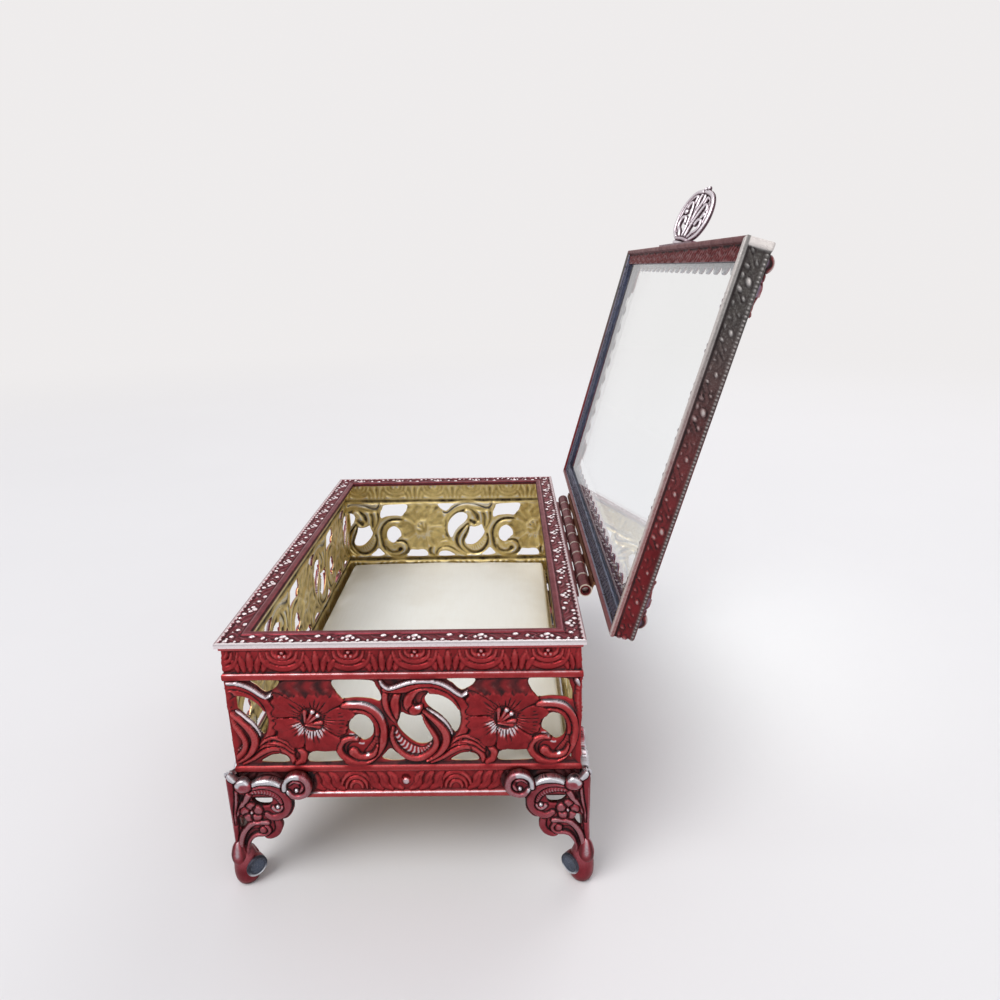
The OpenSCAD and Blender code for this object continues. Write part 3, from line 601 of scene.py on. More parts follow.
def antique(name, body, deep, bright, high=None, reverse=None, second=None, polish=0.8,
            knuckle_highlights=False):
    """Stamped or cast metal: patina and painted shade in its hollows, worn silver and painted
    highlights on its ridges, whose lighter tone is partly a painted sheen.

    high comes on the way to bright, reverse is the finish inside, second the one where the tint
    layer is 1, which on the lid is a painted reflection, and the last flag puts a painted highlight
    round each knuckle's end.
    """
    n = Nodes(name)
    blotch = n.ramp(n.noise(420, 5), 0.38, 0.68)
    cloud = n.ramp(n.noise(95, 3), 0.35, 0.7)
    fleck = n.ramp(n.noise(2600, 3, 0.7), 0.45, 0.75)
    dull = n.math("ADD", n.math("MULTIPLY", blotch, 0.6), n.math("MULTIPLY", cloud, 0.4))
    tone = n.mix(dull, body, scaled(body, 0.62))
    ridge = high or lighter(body)
    if second:
        ridge = n.mix(n.layer("tint"), ridge, lighter(second))
        other = n.mix(dull, second, scaled(second, 0.6))
        other = n.mix(n.math("MULTIPLY", fleck, 0.6), other, lighter(second))
        tone = n.mix(n.layer("tint"), tone, other)
    if reverse:
        back = n.mix(dull, reverse, tuple(c * k for c, k in zip(reverse, (0.62, 0.58, 0.5))))
        back = n.mix(n.math("MULTIPLY", fleck, 0.45), back, tuple(0.45 * c + 0.2 for c in reverse))
        tone = n.mix(n.layer("inside"), tone, back)
        ridge = n.mix(n.layer("inside"), ridge, lighter(reverse))
    uneven = n.math("ADD", 0.8, n.math("MULTIPLY", blotch, 0.2))
    grime = n.math("MULTIPLY", n.ramp(n.layer("grime"), 0.03, 0.8), uneven, clamp=True)
    wear = n.math("SUBTRACT", n.layer("wear"), n.math("MULTIPLY", fleck, 0.15))
    # A painted highlight round the end of each knuckle, on a barrel in the knuckle colour.
    if knuckle_highlights:
        place = n.add("ShaderNodeSeparateXYZ")
        n.link(n.place, place.inputs[0])
        x, y, z = place.outputs
        from_end = n.math("ADD", x, PIN_LOW[0] * -MM + 0.0015)
        turn = n.math("FRACT", n.math("DIVIDE", from_end, KNUCKLE_L * MM))
        end = n.ramp(n.math("ABSOLUTE", n.math("SUBTRACT", turn, 0.5)), 0.42, 0.48)
        y = n.math("SUBTRACT", y, HINGE_Y * MM)
        z = n.math("SUBTRACT", z, HINGE_Z * MM)
        off = n.math("SQRT", n.math("ADD", n.math("MULTIPLY", y, y), n.math("MULTIPLY", z, z)))
        barrel = n.math("SUBTRACT", 1.0, n.ramp(off, 0.0016, 0.0018))
        tone = n.mix(barrel, tone, n.mix(dull, KNUCKLE, scaled(KNUCKLE, 0.5)))
        ring = n.math("MULTIPLY", barrel, n.ramp(off, 0.0012, 0.00135))
        wear = n.math("MAXIMUM", wear, n.math("MULTIPLY", end, ring))
    colour = n.mix(n.math("MULTIPLY", n.ramp(wear, 0.02, 0.4), 0.75), tone, ridge)
    bare_and_highlight = n.math("MULTIPLY", n.ramp(wear, 0.3, 1.0), polish)
    colour = n.mix(bare_and_highlight, colour, bright)
    colour = n.mix(grime, colour, deep)
    rough = n.math("ADD", 0.34, n.math("MULTIPLY", dull, 0.14))
    rough = n.math("ADD", rough, n.math("MULTIPLY", grime, 0.3))
    rough = n.math("SUBTRACT", rough, n.math("MULTIPLY", bare_and_highlight, 0.1))
    metal = n.math("SUBTRACT", 0.96, n.math("MULTIPLY", grime, 0.5))
    relief = n.math("ADD", n.noise(1800, 5, 0.65), n.math("MULTIPLY", n.noise(7000, 2), 0.35))
    return n.finish(Base_Color=colour, Roughness=rough, Metallic=metal,
                    Normal=n.bump(relief, 0.35, 0.00012))


def satin(name, tone, shade):
    """Acetate satin: a soft sheen, fine weft lines and faint stains."""
    n = Nodes(name)
    stain = n.ramp(n.noise(38, 4), 0.42, 0.72)
    weft = n.noise(900, 2, 0.5, stretch=(0.12, 1.6, 1.0))
    warp = n.noise(1400, 2, 0.5, stretch=(1.5, 0.2, 1.0))
    colour = n.mix(n.math("MULTIPLY", stain, 0.55), tone, shade)
    colour = n.mix(n.math("MULTIPLY", n.ramp(weft, 0.35, 0.75), 0.12), colour, shade)
    thread = n.math("ADD", weft, n.math("MULTIPLY", warp, 0.6))
    rough = n.math("ADD", 0.46, n.math("MULTIPLY", weft, 0.16))
    normal = n.bump(thread, 0.3, 0.00008, n.bump(n.noise(60, 3), 0.12, 0.0008))
    material = n.finish(Base_Color=colour, Roughness=rough, Normal=normal, Sheen_Weight=0.25)
    n.shader.inputs["Sheen Roughness"].default_value = 0.4
    return material


def board(name, tone, shade):
    """Grey card with short fibres."""
    n = Nodes(name)
    fibre = n.noise(700, 6, 0.75, stretch=(0.5, 1.4, 1.0))
    colour = n.mix(n.ramp(fibre, 0.35, 0.7), tone, shade)
    return n.finish(Base_Color=colour, Roughness=0.85, Normal=n.bump(fibre, 0.3, 0.0001))


def steel(name, tone, shade):
    """Drawn pin steel with fine lines along it."""
    n = Nodes(name)
    lines = n.noise(1500, 3, 0.5, stretch=(0.04, 1.0, 1.0))
    colour = n.mix(n.ramp(lines, 0.3, 0.75), tone, shade)
    rough = n.math("ADD", 0.28, n.math("MULTIPLY", lines, 0.2))
    return n.finish(Base_Color=colour, Roughness=rough, Metallic=1.0,
                    Normal=n.bump(lines, 0.15, 0.00005))


def plate_glass(name):
    """Clear glass with a few specks of dust. It bends no view, and lamps shine through it."""
    n = Nodes(name)
    dust = n.ramp(n.noise(2100, 2, 0.4), 0.74, 0.8)
    film = n.ramp(n.noise(70, 4), 0.45, 0.8)
    dull = n.math("ADD", n.math("MULTIPLY", film, 0.05), n.math("MULTIPLY", dust, 0.4))
    n.finish(Coat_Roughness=n.math("ADD", 0.015, dull), Coat_Weight=1.0, Coat_IOR=1.45,
             Roughness=0.0, IOR=1.04, Base_Color=(0.96, 0.985, 0.98, 1), Transmission_Weight=1.0)
    clear = n.plain("ShaderNodeBsdfTransparent", (0.93, 0.955, 0.95))
    n.show(n.add("ShaderNodeLightPath").outputs["Is Shadow Ray"], n.shader, clear)
    return n.material


# The dark of patina and of painted shade, and the bright of worn silver and of painted highlights.
DEEP = srgb(22, 5, 9)
SILVER = srgb(208, 211, 217)
GOLD = srgb(220, 198, 134)
SLATE = srgb(92, 98, 124)
KNUCKLE = srgb(112, 44, 48)
METAL = {
    "panel": antique("panel_red_gold", srgb(150, 46, 50), DEEP, SILVER, high=srgb(176, 70, 70),
                     reverse=GOLD),
    "rim": antique("rim_maroon", srgb(122, 48, 56), srgb(48, 14, 20), srgb(244, 236, 238),
                   high=srgb(142, 80, 88), polish=1.0),
    "leg": antique("leg_rose", srgb(134, 50, 58), DEEP, srgb(196, 199, 204), high=srgb(152, 80, 88),
                   reverse=srgb(88, 54, 48), second=srgb(84, 92, 108), polish=0.9),
    # The lid's second tone, dark olive-grey towards its free end, is a painted reflection.
    "lid": antique("lid_brown", srgb(120, 42, 46), srgb(26, 12, 14), srgb(216, 210, 207),
                   high=srgb(136, 66, 66), reverse=SLATE, second=srgb(76, 72, 70), polish=0.9),
    "hinge": antique("hinge_brown", srgb(124, 62, 64), srgb(50, 24, 22), srgb(220, 210, 208),
                     knuckle_highlights=True),
    "hinge_lid": antique("hinge_gold", srgb(134, 96, 66), srgb(50, 30, 22), srgb(220, 206, 188),
                         knuckle_highlights=True),
    "tab": antique("tab_silver", srgb(122, 84, 96), srgb(30, 8, 14), srgb(222, 216, 222),
                   high=srgb(156, 130, 140), polish=0.95),
    "base": antique("base_brass", srgb(168, 140, 88), srgb(60, 44, 24), SILVER),
}
SATIN = satin("satin_cream", srgb(244, 243, 237), srgb(230, 225, 214))
CARD = board("lining_board", srgb(214, 202, 180), srgb(178, 162, 136))
STEEL = steel("pin_steel", srgb(190, 184, 176), srgb(120, 112, 104))
GLASS = plate_glass("bevelled_glass")


# ---------------------------------------------------------------- the pattern of a panel
# Drawn from the middle of a flower and from the top of the lower rail.

FLOWER = (0.2, 11.2)
HOLES = [
    [(-16.6, 16), (-16, 16.9), (-14.6, 17.2), (-12.8, 16.8), (-11.2, 15.6), (-9.9, 14),
     (-9.3, 12.2), (-9.3, 9.9), (-9.9, 8.1), (-10.4, 7.6), (-11, 8.1), (-11.5, 9.3), (-12.4, 10.7),
     (-13.7, 12.1), (-15.3, 13.4), (-16.3, 14.7)],
    [(-21.7, 12.6), (-20.6, 12.1), (-19, 11.7), (-17.4, 11.8), (-17.2, 10.8), (-16.8, 9.3),
     (-16, 7.6), (-15.4, 6.3), (-15.9, 5.1), (-17.6, 4.7), (-19.2, 5.2), (-20.8, 6.6), (-22, 8.1),
     (-22.7, 9.7), (-22.2, 11.2)],
    [(-11.6, 0.6), (-10.3, 1.7), (-9, 2.3), (-7.4, 2.4), (-6.2, 2), (-5.6, 1.1), (-5.9, 0.4),
     (-8.6, 0.3)],
    [(5.4, 20.5), (9.6, 20.6), (13.6, 20.3), (14.4, 19), (15.2, 17.2), (15, 15.4), (13.1, 16),
     (10, 16.3), (7.5, 16.1), (6.6, 17), (5.7, 18.2)],
    [(-1.3, 0.5), (-1.3, 2.1), (-0.4, 2.9), (0.8, 3.1), (2.2, 2.9), (3.6, 3), (4.8, 2.9),
     (5.5, 1.7), (6.2, 0.6), (2.4, 0.3)],
    [(8, 9.4), (8.5, 10.8), (9.9, 12.1), (11.1, 12.1), (12.4, 11.2), (13.1, 9.7), (13.2, 8.2),
     (12.8, 6.9), (11.8, 6), (10.8, 5.8), (9.8, 6.7), (8.8, 7.7), (8.1, 8.3)],
    [(-11.8, 20.6), (-8.8, 20.8), (-6, 20.6), (-6.3, 19.4), (-7.5, 18.4), (-8.7, 17.9),
     (-9.7, 18.5), (-10.6, 19.5)],
    [(16.6, 3.6), (15.4, 2.5), (14.6, 1.2), (16.7, 0.5), (19.6, 0.8), (17.8, 2.5)],
]
# The line that each scroll follows, its widths, its height, how bright it is (worn silver and a
# painted highlight) and its cross ribs. A later one lies over the ones before it.
SCROLLS = [
    ([(-24.7, 17.9), (-25, 16), (-24.7, 14), (-23.9, 12), (-23, 10.4)], (1.4, 1.5, 0.5), 0.5),
    ([(-22.2, 17.5), (-22.9, 15.4), (-22.9, 13.5), (-22.7, 11.4)], (1.5, 2.1, 0.6), 0.55),
    ([(-24.9, 18.4), (-22.6, 18.2), (-20.1, 18.5), (-16.5, 19), (-13.3, 18.4), (-10.5, 16.7),
     (-8.6, 14.3), (-8, 12), (-8.2, 9.7), (-9.1, 7.4), (-10.6, 5.5), (-12.6, 3.6), (-15, 1.8)],
     (1.3, 2.3, 1.4), 0.55),
    ([(-18.7, 13.2), (-20.1, 14.4), (-19.9, 16.2), (-18.3, 17.6), (-15.6, 18), (-12.9, 17.3),
     (-10.8, 15.8), (-9.5, 13.6)], (2.4, 1.9, 0.7), 0.62),
    ([(-18.9, 13.3), (-18.1, 13.5), (-17.5, 14.4)], (2.6, 2, 1), 0.62),
    ([(-16.3, 17.6), (-17.3, 17.2), (-17.9, 16.2), (-17.9, 15.1)], (1.2, 1.5, 1.0), -0.2, 0.5, 6),
    ([(-23.3, 8.6), (-22.7, 6.4), (-21.5, 4.6), (-19.8, 3.3), (-17.9, 2.8), (-16.3, 3.4),
     (-15.4, 4.7)], (0.9, 2.7, 1.3), 0.12, 1.0, 13),
    ([(-16.2, 13.5), (-14.3, 12), (-12.7, 10.4), (-11.6, 8.6), (-11.1, 7.2)], (0.5, 1.0, 0.6),
     0.15, 0.9),
    ([(-15.8, 0.4), (-13.3, 1.6), (-11.5, 2.9), (-9.6, 3.9), (-7.8, 4.1), (-6.2, 3.6), (-5, 2.4),
     (-4.5, 0.6)], (0.9, 1.5, 1.3), 0.5),
    ([(-13.3, 2.7), (-10.7, 4.8), (-8, 5.3), (-6, 4.6), (-4.3, 3)], (0.5, 1.2, 0.7), 0.42),
    ([(-12.6, 4), (-10.3, 6.1), (-8.6, 6.9), (-7, 6.5), (-5.5, 5.4), (-4.2, 4)], (0.6, 1.0, 0.6),
     0.5),
    ([(-3.8, 0.3), (-2.5, 1.2), (-2.2, 2.8), (-3.1, 3.9)], (1.3, 1.9, 1.2), 0.55),
    ([(-16.9, 13.1), (-14.9, 11.1), (-13.4, 9.3), (-12.5, 7.5), (-12.4, 5.6), (-13.2, 3.8),
     (-14.6, 2.3), (-16.7, 1)], (0.8, 1.9, 1.1), 0.8),
    ([(-17.2, 12.4), (-16.5, 10.2), (-15.4, 8.1), (-14.6, 6.1), (-14.8, 4.3), (-16, 2.7),
     (-18, 1.5), (-20.3, 1.6), (-22.2, 2.9), (-23.5, 5), (-24, 7.2), (-23.6, 9)], (0.8, 1.7, 0.8),
     0.72),
    ([(-25.6, 20.6), (-25.2, 19.6), (-24.2, 18.8), (-22.8, 19), (-20.1, 20), (-17.4, 20.5),
     (-15, 20.4), (-13, 19.8), (-11.2, 18.7), (-9.9, 17.6), (-8.7, 17), (-7.3, 17.8),
     (-6.2, 18.9)], (0.8, 1.05, 0.7), 0.85, 1.0),
    ([(7.3, 14.6), (9.9, 14.7), (12.2, 14.2), (14.2, 12.5), (15.2, 10), (15.3, 7.2), (14.6, 4.7),
     (13.2, 2.5), (11.3, 0.9), (9, 0.3), (7, 1.1), (5.8, 2.6), (5.6, 4.3), (6.5, 5.8), (8.1, 6.5),
     (9.6, 6.3)], (1.5, 2.2, 1.0), 0.65),
    ([(8.8, 13), (10.8, 13.1), (12.7, 11.9), (13.9, 9.8), (14, 7.4), (13.4, 5.4)], (0.6, 1.3, 1.1),
     0.35),
    ([(13.8, 6.6), (13.4, 5), (12.4, 3.6), (11.5, 2.9)], (0.9, 1.9, 1.2), -0.1, 0.5, 8),
    ([(13.9, 4.6), (13, 2.6), (11.4, 1.8), (9.6, 2), (8.6, 3)], (0.6, 1.6, 2.4), 0.6),
]
GROOVES = [
    [(-10.4, 5.1), (-8.2, 5.2), (-7.1, 3.7), (-7.7, 2.1)],
    [(9.9, 5.4), (8.3, 5.3), (7.4, 4.2), (7.5, 2.4), (9, 1), (11.2, 0.8), (13.3, 1.9)],
]
# Painted highlights on worn silver along the edges of scrolls that face the light: lines, widths.
PAINTED_HIGHLIGHTS = [
    ([(7.4, 15.3), (9.4, 15.5), (11.7, 15.3), (13.5, 14.5), (15.1, 12.9), (15.9, 10.8)],
     (0.5, 1.0, 0.5)),
    ([(7.8, 7.5), (8.8, 7.3), (9.8, 6.7)], 0.7),
    ([(9.8, 5.3), (10.6, 5.1), (11.2, 5.2)], 0.8),
    ([(11.3, 2.6), (12, 2.6)], 0.8),
    ([(-18.7, 14.3), (-18, 14.1), (-17.6, 14.4)], 0.7),
]
PETALS = [
    [(3, 12.4), (5.4, 14), (7.4, 15.4), (7.2, 16.7), (5.8, 18.2), (4.8, 20.7), (-3, 20.9),
     (-6.5, 19.8), (-7.6, 18), (-5.4, 15.6), (-2.6, 13.8), (0.4, 14)],
    [(-2, 12.2), (-4.4, 12), (-7.2, 11.9), (-8.2, 13), (-7.4, 14.3), (-8.1, 15.6), (-7.2, 16.8),
     (-7.4, 18), (-4.6, 17), (-1.5, 14.4)],
    [(-2, 10.7), (-1.5, 8.2), (-1.7, 5.2), (-3.1, 4), (-4.6, 4.6), (-5.6, 6), (-7.4, 7.1),
     (-7.2, 8.3), (-8.2, 9.4), (-7.4, 10.5), (-8, 11.4), (-4.4, 11.8)],
    [(-1.2, 9), (-1.6, 6), (-1.7, 3.8), (-0.4, 3.1), (0.8, 3.4), (2.2, 3.1), (3.5, 3.3),
     (4.9, 3.5), (5.4, 4.8), (6.1, 6.3), (4.2, 7.8), (2, 9.2)],
    [(2.6, 9.9), (4, 8.2), (5.8, 7.2), (7.3, 7.8), (7.5, 8.6), (7.9, 9.1), (7.5, 9.7), (8, 10.2),
     (7.8, 10.7), (8.8, 11.3), (9.6, 12.4), (8.2, 13.8), (5.8, 14.2), (3.6, 12.8)],
]
FOLD_GLINTS = [
    [(-6.9, 17.7), (-5.9, 18.5), (-5.2, 18.2)],
    [(-4.4, 17.5), (-3.6, 18.7)],
    [(-2.4, 19.3), (-1.5, 18.3)],
    [(0.7, 18.6), (1.6, 19.4)],
    [(3.6, 17.9), (4.4, 18.9)],
]
THROAT_R = 2.3
VEINS = 34
STAMEN_ROOT = (-1.2, 9.9)
STAMENS = [
    ((-1.1, 13.1), 0.3), ((0.6, 13.1), 1.0), ((1.6, 12.2), 1.0), ((2.2, 10.4), 0.4),
    ((1.6, 9.4), 0.3),
]


def flower(r):
    """Five petals that merge, with veins that run out of a dark throat, and club-shaped stamens."""
    cx, cy = FLOWER[0], FLOWER[1] + PIERCED_Y
    r.line = 0.16
    for outline in PETALS:
        r.plate(moved(outline, 0, PIERCED_Y), 0.6, round_off=1.8)
    for part, gx, gy in r.windows((cx - 10, cy - 10), (cx + 10, cy + 10)):
        rho, angle = np.hypot(gx - cx, (gy - cy) * 0.92), np.arctan2(gy - cy, gx - cx)
        petal = r.cover[part] > 0
        length = 4.2 + 0.8 * np.cos(5 * angle + 0.6) + 0.6 * np.cos(13 * angle)
        near = ease((length + 0.8 - rho) / 1.8)
        fade = ease((rho - THROAT_R + 0.1) / 0.3) * (0.24 * near + 0.04 * ease((8.6 - rho) / 1.5))
        line = np.clip(np.cos(VEINS * angle + 1.4 * np.sin(3 * angle)), 0, 1) ** 1.6
        r.h[part] -= np.where(petal, line * fade, 0)
        swell = np.cos(VEINS / 2 * angle + 0.7 * np.sin(3 * angle)) * ease((rho - 3.2) / 1.5)
        r.h[part] += np.where(petal, 0.05 * swell, 0)
        ends = ease((7.8 - rho) / 1.6) * ease((rho - 5.4) / 1.2) * (np.abs(angle + 0.12) < 0.5)
        r.h[part] -= 0.22 * ends * np.clip(np.cos(46 * angle), 0, 1)
        r.h[part] -= np.where(petal, 0.24 * ease((3.6 - rho) / 1.5), 0)
        below = ease((angle + 3.1) / 0.4) * ease((-0.35 - angle) / 0.5)
        ring = ease((rho - THROAT_R) / 0.3) * ease((4.6 + 0.5 * np.cos(11 * angle) - rho) / 1.5)
        r.shine[part] = np.maximum(r.shine[part], below * ring * (1 - line))
        r.soot_and_shade[part] = np.maximum(r.soot_and_shade[part], ease((THROAT_R + 0.2 - rho) / 0.3))
        throat = rho < THROAT_R
        floor = r.ground - 0.35 * ease(2.4 * (1 - rho / THROAT_R))
        r.h[part] = np.where(throat, np.minimum(r.h[part], floor), r.h[part])
    r.line = 0.1
    for end, shine in STAMENS:
        tip, root = moved([end, STAMEN_ROOT], 0, PIERCED_Y)
        middle = (tip[0] + root[0]) / 2, (tip[1] + root[1]) / 2
        r.scroll([root, middle, tip], (0.4, 0.75, 1.15), 0.3, 0.08)
        if shine > 0.9:
            r.boss(tip, 0.55, 0.5, shine)
    r.line = 0.26
    # Painted shade where the upper petal turns back under the rail, with painted highlights along
    # it.
    for part, gx, gy in r.windows((-7.4, PIERCED_Y + 16), (6.6, PIERCED_Y + 21)):
        wave = PIERCED_Y + 16.9 + 0.35 * np.sin(gx * 2.3) + 0.2 * np.sin(gx * 5.1)
        fold = ease((gy - wave) / 0.5) * (r.cover[part] > 0)
        lump = np.sin(gx * 1.7 + 1.3 * np.sin(gy * 1.4))
        r.h[part] -= fold * (0.16 + 0.14 * lump * ease((gy - wave) / 1.2))
        dark = fold * (0.5 - 0.2 * lump) * ease((gy - wave + 0.3) / 0.9)
        r.soot_and_shade[part] = np.maximum(r.soot_and_shade[part], dark)
    for line in FOLD_GLINTS:
        r.polish(moved(line, 0, PIERCED_Y), 1.6, 0.34)


def leaf_band(r, middle):
    """Leaves that lean away from an eyelet, with a curled frond half-way along each side."""
    y = LEAF_Y
    for m in (-1, 1):
        for radius in (3.3, 2.3, 1.3):
            arc = [(middle + m * (10.9 + radius * math.cos(t)),
                    y + 0.8 + 1.15 * radius * math.sin(t)) for t in np.linspace(-0.1, 3.2, 8)]
            r.scroll(arc, (0.6, 1.0, 0.6), 0.3)
        for d in (2.2, 4.4, 6.6, 15, 17.2, 19.4):
            leaf = [(middle + m * (d - 1.3), y + 0.3), (middle + m * (d + 0.3), y + 1.5),
                    (middle + m * (d + 0.5), y + 3.2), (middle + m * (d + 1.7), y + 4.8)]
            r.scroll(leaf, (0.8, 1.9, 0.6), 0.3)
            r.groove([(middle + m * (d - 0.5), y + 1.2), (middle + m * (d + 0.4), y + 2.4),
                      (middle + m * (d + 0.9), y + 3.9)], 0.4, 0.16)
    r.dish((middle, y + 3.1), 1.2, 0.4)
    r.boss((middle, y + 2.3), 0.85, 0.35, 0.45)


def fan_band(r, middle):
    """A swag of arcs under a small flower, and blades that fan out beside it."""
    y = FAN_Y
    centre = middle + REPEAT / 6
    for d, low, lean, tall in ((2.6, 0.2, 1.5, 2.9), (1.35, 0.2, 0.9, 4.0)):
        for m in (-1, 1):
            r.scroll([(centre + m * d, y + low), (centre + m * (d + lean * 0.25), y + tall * 0.5),
                      (centre + m * (d + lean), y + tall)], (0.6, 1.35, 0.4), 0.24)
    r.scroll([(centre, y + 0.2), (centre, y + 2.4), (centre, y + 4.7)], (0.6, 1.5, 0.4), 0.26)
    for radius, wide in ((4.5, 1.5), (3.1, 1.2), (2.0, 1.1)):
        swag = [(middle + radius * math.sin(t),
                 y + 5.1 - (radius - 0.2) * max(math.cos(t), 0) ** 0.75)
                for t in np.linspace(-1.5, 1.5, 9)]
        r.scroll(swag, (0.6, wide, 0.6), 0.24, flat=0.7)
    r.dish((middle, y + 4.2), 1.3, 0.3)
    for angle in (90, 210, 330):
        r.boss(polar((middle, y + 3.9), 0.6, angle), 0.45, 0.2, 0.25)


# A leg's outline, from the outer corner inwards and up from the floor
LEG_OUTLINE = [
    (-3, 4), (-3, 12), (-3, 20), (-3, 26), (-2, 28.4), (0, 28.8), (1, 29.3), (1.7, 28.6),
    (2.3, 27.7), (2.8, 27.5), (3.5, 27.9), (4.5, 27.5), (5.3, 26.6), (6.8, 27.5), (8.8, 27.9),
    (10.8, 27.5), (12.3, 26.6), (13.2, 28.2), (15.2, 29.1), (17.4, 28.4), (18.6, 25.9),
    (17.9, 23.6), (15.8, 22.5), (14.3, 22.4), (14, 19.6), (12.6, 17.6), (11.1, 16.9), (11.2, 15),
    (10.1, 12.9), (8, 11.9), (6, 12.6), (4.6, 12.1), (3.5, 10.6), (3.1, 8.4), (3.1, 6), (3, 4),
    (0, 3.4),
]
LEG_EDGE = curve(LEG_OUTLINE, 4, closed=True)


PIERCED_GROUND, BAND_GROUND = 0.9, 1.0  # height of the sheet between the shapes


def panel_tile(columns):
    """One repeat of a whole panel as a relief, on that many columns."""
    step = REPEAT / columns
    x = -26 + step * np.arange(columns)
    bands = (0, LEAF_Y, LOW_RAIL_Y, PIERCED_Y, HIGH_RAIL_Y, FAN_Y, FASCIA_Y, PANEL_H)
    y = np.concatenate([np.linspace(a, b, max(4, round((b - a) / step)), endpoint=False)
                        for a, b in zip(bands, bands[1:])] + [[PANEL_H]])
    r = Relief(x, y, PIERCED_GROUND, REPEAT)
    for line, *look in SCROLLS:
        r.scroll(moved(line, 0, PIERCED_Y), *look)
    for line in GROOVES:
        r.groove(moved(line, 0, PIERCED_Y), 0.5, 0.25)
    flower(r)
    # Painted highlights over worn silver.
    for line, wide in PAINTED_HIGHLIGHTS:
        r.polish(moved(line, 0, PIERCED_Y), wide, 1.0)
    r.ground, r.line = BAND_GROUND, 0.08
    leaf_band(r, 19.5)
    for k in range(3):
        fan_band(r, 2.4 + (k + 0.5) * REPEAT / 3)
    for low, high, stand, shine in ((0, LIP_H, 0.6, 0.0), (LOW_RAIL_Y, PIERCED_Y, 0.55, 0.0),
                                    (HIGH_RAIL_Y, FAN_Y, 0.55, 0.0), (FASCIA_Y, PANEL_H, 0.4, 0.0)):
        rows = slice(*np.searchsorted(y, (low, high + 1e-6)))
        t = (y[rows] - low) / (high - low) * 2 - 1
        bead = r.ground + stand * np.clip(1 - np.abs(t) ** 4, 0, 1) ** 0.5
        r.h[rows] = np.maximum(r.h[rows], bead[:, None])
        r.shine[rows] = shine
    # Painted highlight lines along the top of the lip and just under the fan band.
    for line, shine in ((LIP_H - 0.25, 0.62), (FAN_Y - 0.15, 0.36)):
        r.shine[np.abs(y - line) < 0.14] = shine
    r.h = np.clip(r.h, 0.3, PANEL_T)
    for outline in HOLES:
        r.hole(moved(outline, 0, PIERCED_Y))
    return r


def panel(side, tile):
    """A pierced and stamped panel with mitred ends and its pattern in reverse on the inside."""
    length, across = facing(side, PANEL_L, PANEL_W)
    step = tile.x[1] - tile.x[0]
    start = FIRST_FLOWER[side] + tile.x[0]
    spare = 0.4 * step
    first, last = math.ceil((spare - start) / step), math.floor((length - spare - start) / step)
    k = np.arange(first, last + 1)
    u = np.array([0.0, *(start + k * step), length])
    cols = np.pad(k, 1, mode="edge") % len(tile.x)
    from_end = np.minimum(u, length - u)
    end = ease(1 - (from_end - 0.2) / 0.9)[None, :]
    post = np.where((tile.y > LOW_RAIL_Y) & (tile.y < FAN_Y), 1.25, 1.0)[:, None]
    raised = tile.h[:, cols]
    plain = np.maximum(post, np.median(tile.h, axis=1)[:, None])
    outer = raised * (1 - end) + plain * end
    inner = np.clip(blur(outer, 0.22 / step) - SHEET_T, 0.0, PANEL_T)
    openings = np.maximum(tile.open[:, cols], (END_MARGIN - from_end)[None, :])
    # painted shadow on the lower band of the panel, just above each leg and round its top
    face = np.meshgrid(from_end + LEG_T + LEG_RELIEF, tile.y + STAND_H)
    off_leg = -signed_distance(*face, LEG_EDGE)
    low = (tile.y < LOW_RAIL_Y)[:, None]
    over = ease((15.2 - from_end) / 1.2)[None, :] * low * (tile.y > LIP_H)[:, None]
    soot_and_shade = np.maximum(over * (off_leg < 3.2), ease(1.5 - off_leg) * low)
    soot_and_shade = np.maximum(soot_and_shade, tile.soot_and_shade[:, cols])
    banded = (tile.y < LOW_RAIL_Y) | (tile.y > FAN_Y)
    hollow_dark = np.where(banded, 0.5, 1.0)[:, None]

    def place(gu, gv, h):
        near = np.clip(1 - np.minimum(gu, length - gu) / 4.0, 0, 1) * (PANEL_T - h)
        gu = gu + np.where(gu < length / 2, near, -near)
        p = np.stack([gu - length / 2, -across / 2 + PANEL_T - h, gv + STAND_H], -1)
        return turned(p, side)

    sheet = sheet_parts(u, tile.y, outer, inner, openings, place, edge_drop=0.3,
                        shine=tile.shine[:, cols] * (1 - end), soot_and_shade=soot_and_shade, hollow_dark=hollow_dark, edge_reach=0.5)
    flange = turned_in_edge(side, length, across)
    dress("panel_" + SIDE_NAMES[side], "stamped", "casket", "panel", joined(sheet, flange))


def turned_in_edge(side, length, across):
    """The strip that is folded in under the base plate, its edge rounded."""
    inset, depth, thick = PANEL_T + 1.5, 1.5, 0.6
    cut = 0.15
    section = [(0, 0), (depth - cut, 0), (depth, cut), (depth, thick - cut), (depth - cut, thick),
               (0, thick)]
    n = len(section)
    faces = [[n + i, n + (i + 1) % n, (i + 1) % n, i] for i in range(n)]
    faces += [list(range(n)), list(range(n, 2 * n))[::-1]]
    p = np.array([(x - length / 2, -across / 2 + PANEL_T + d, z + STAND_H)
                  for x in (inset, length - inset) for d, z in section])
    return turned(p, side), faces, {"inside": np.ones(2 * n)}


fine, coarse = panel_tile(190), panel_tile(150)
for side in (FRONT, BACK):
    panel(side, coarse)
for side in (RIGHT, LEFT):
    panel(side, fine)


# ---------------------------------------------------------------- rim

RIM_REPEAT = 13.7
RIM_BED = 0.66  # height of the flange between the foliage
# x, y, size and shine
RIM_DOTS = [
    (0, 3.2, 0.95, 0.9), (-1.1, 2.5, 0.6, 1), (1.0, 2.6, 0.6, 1), (0, 1.9, 0.5, 1),
    (2.2, 1.6, 0.7, 1), (4.3, 1.4, 0.5, 0.8), (5.9, 1.5, 0.65, 1), (7.2, 3.5, 0.75, 1),
    (9.7, 2.9, 0.65, 1), (11.0, 2.2, 0.6, 0.8),
]
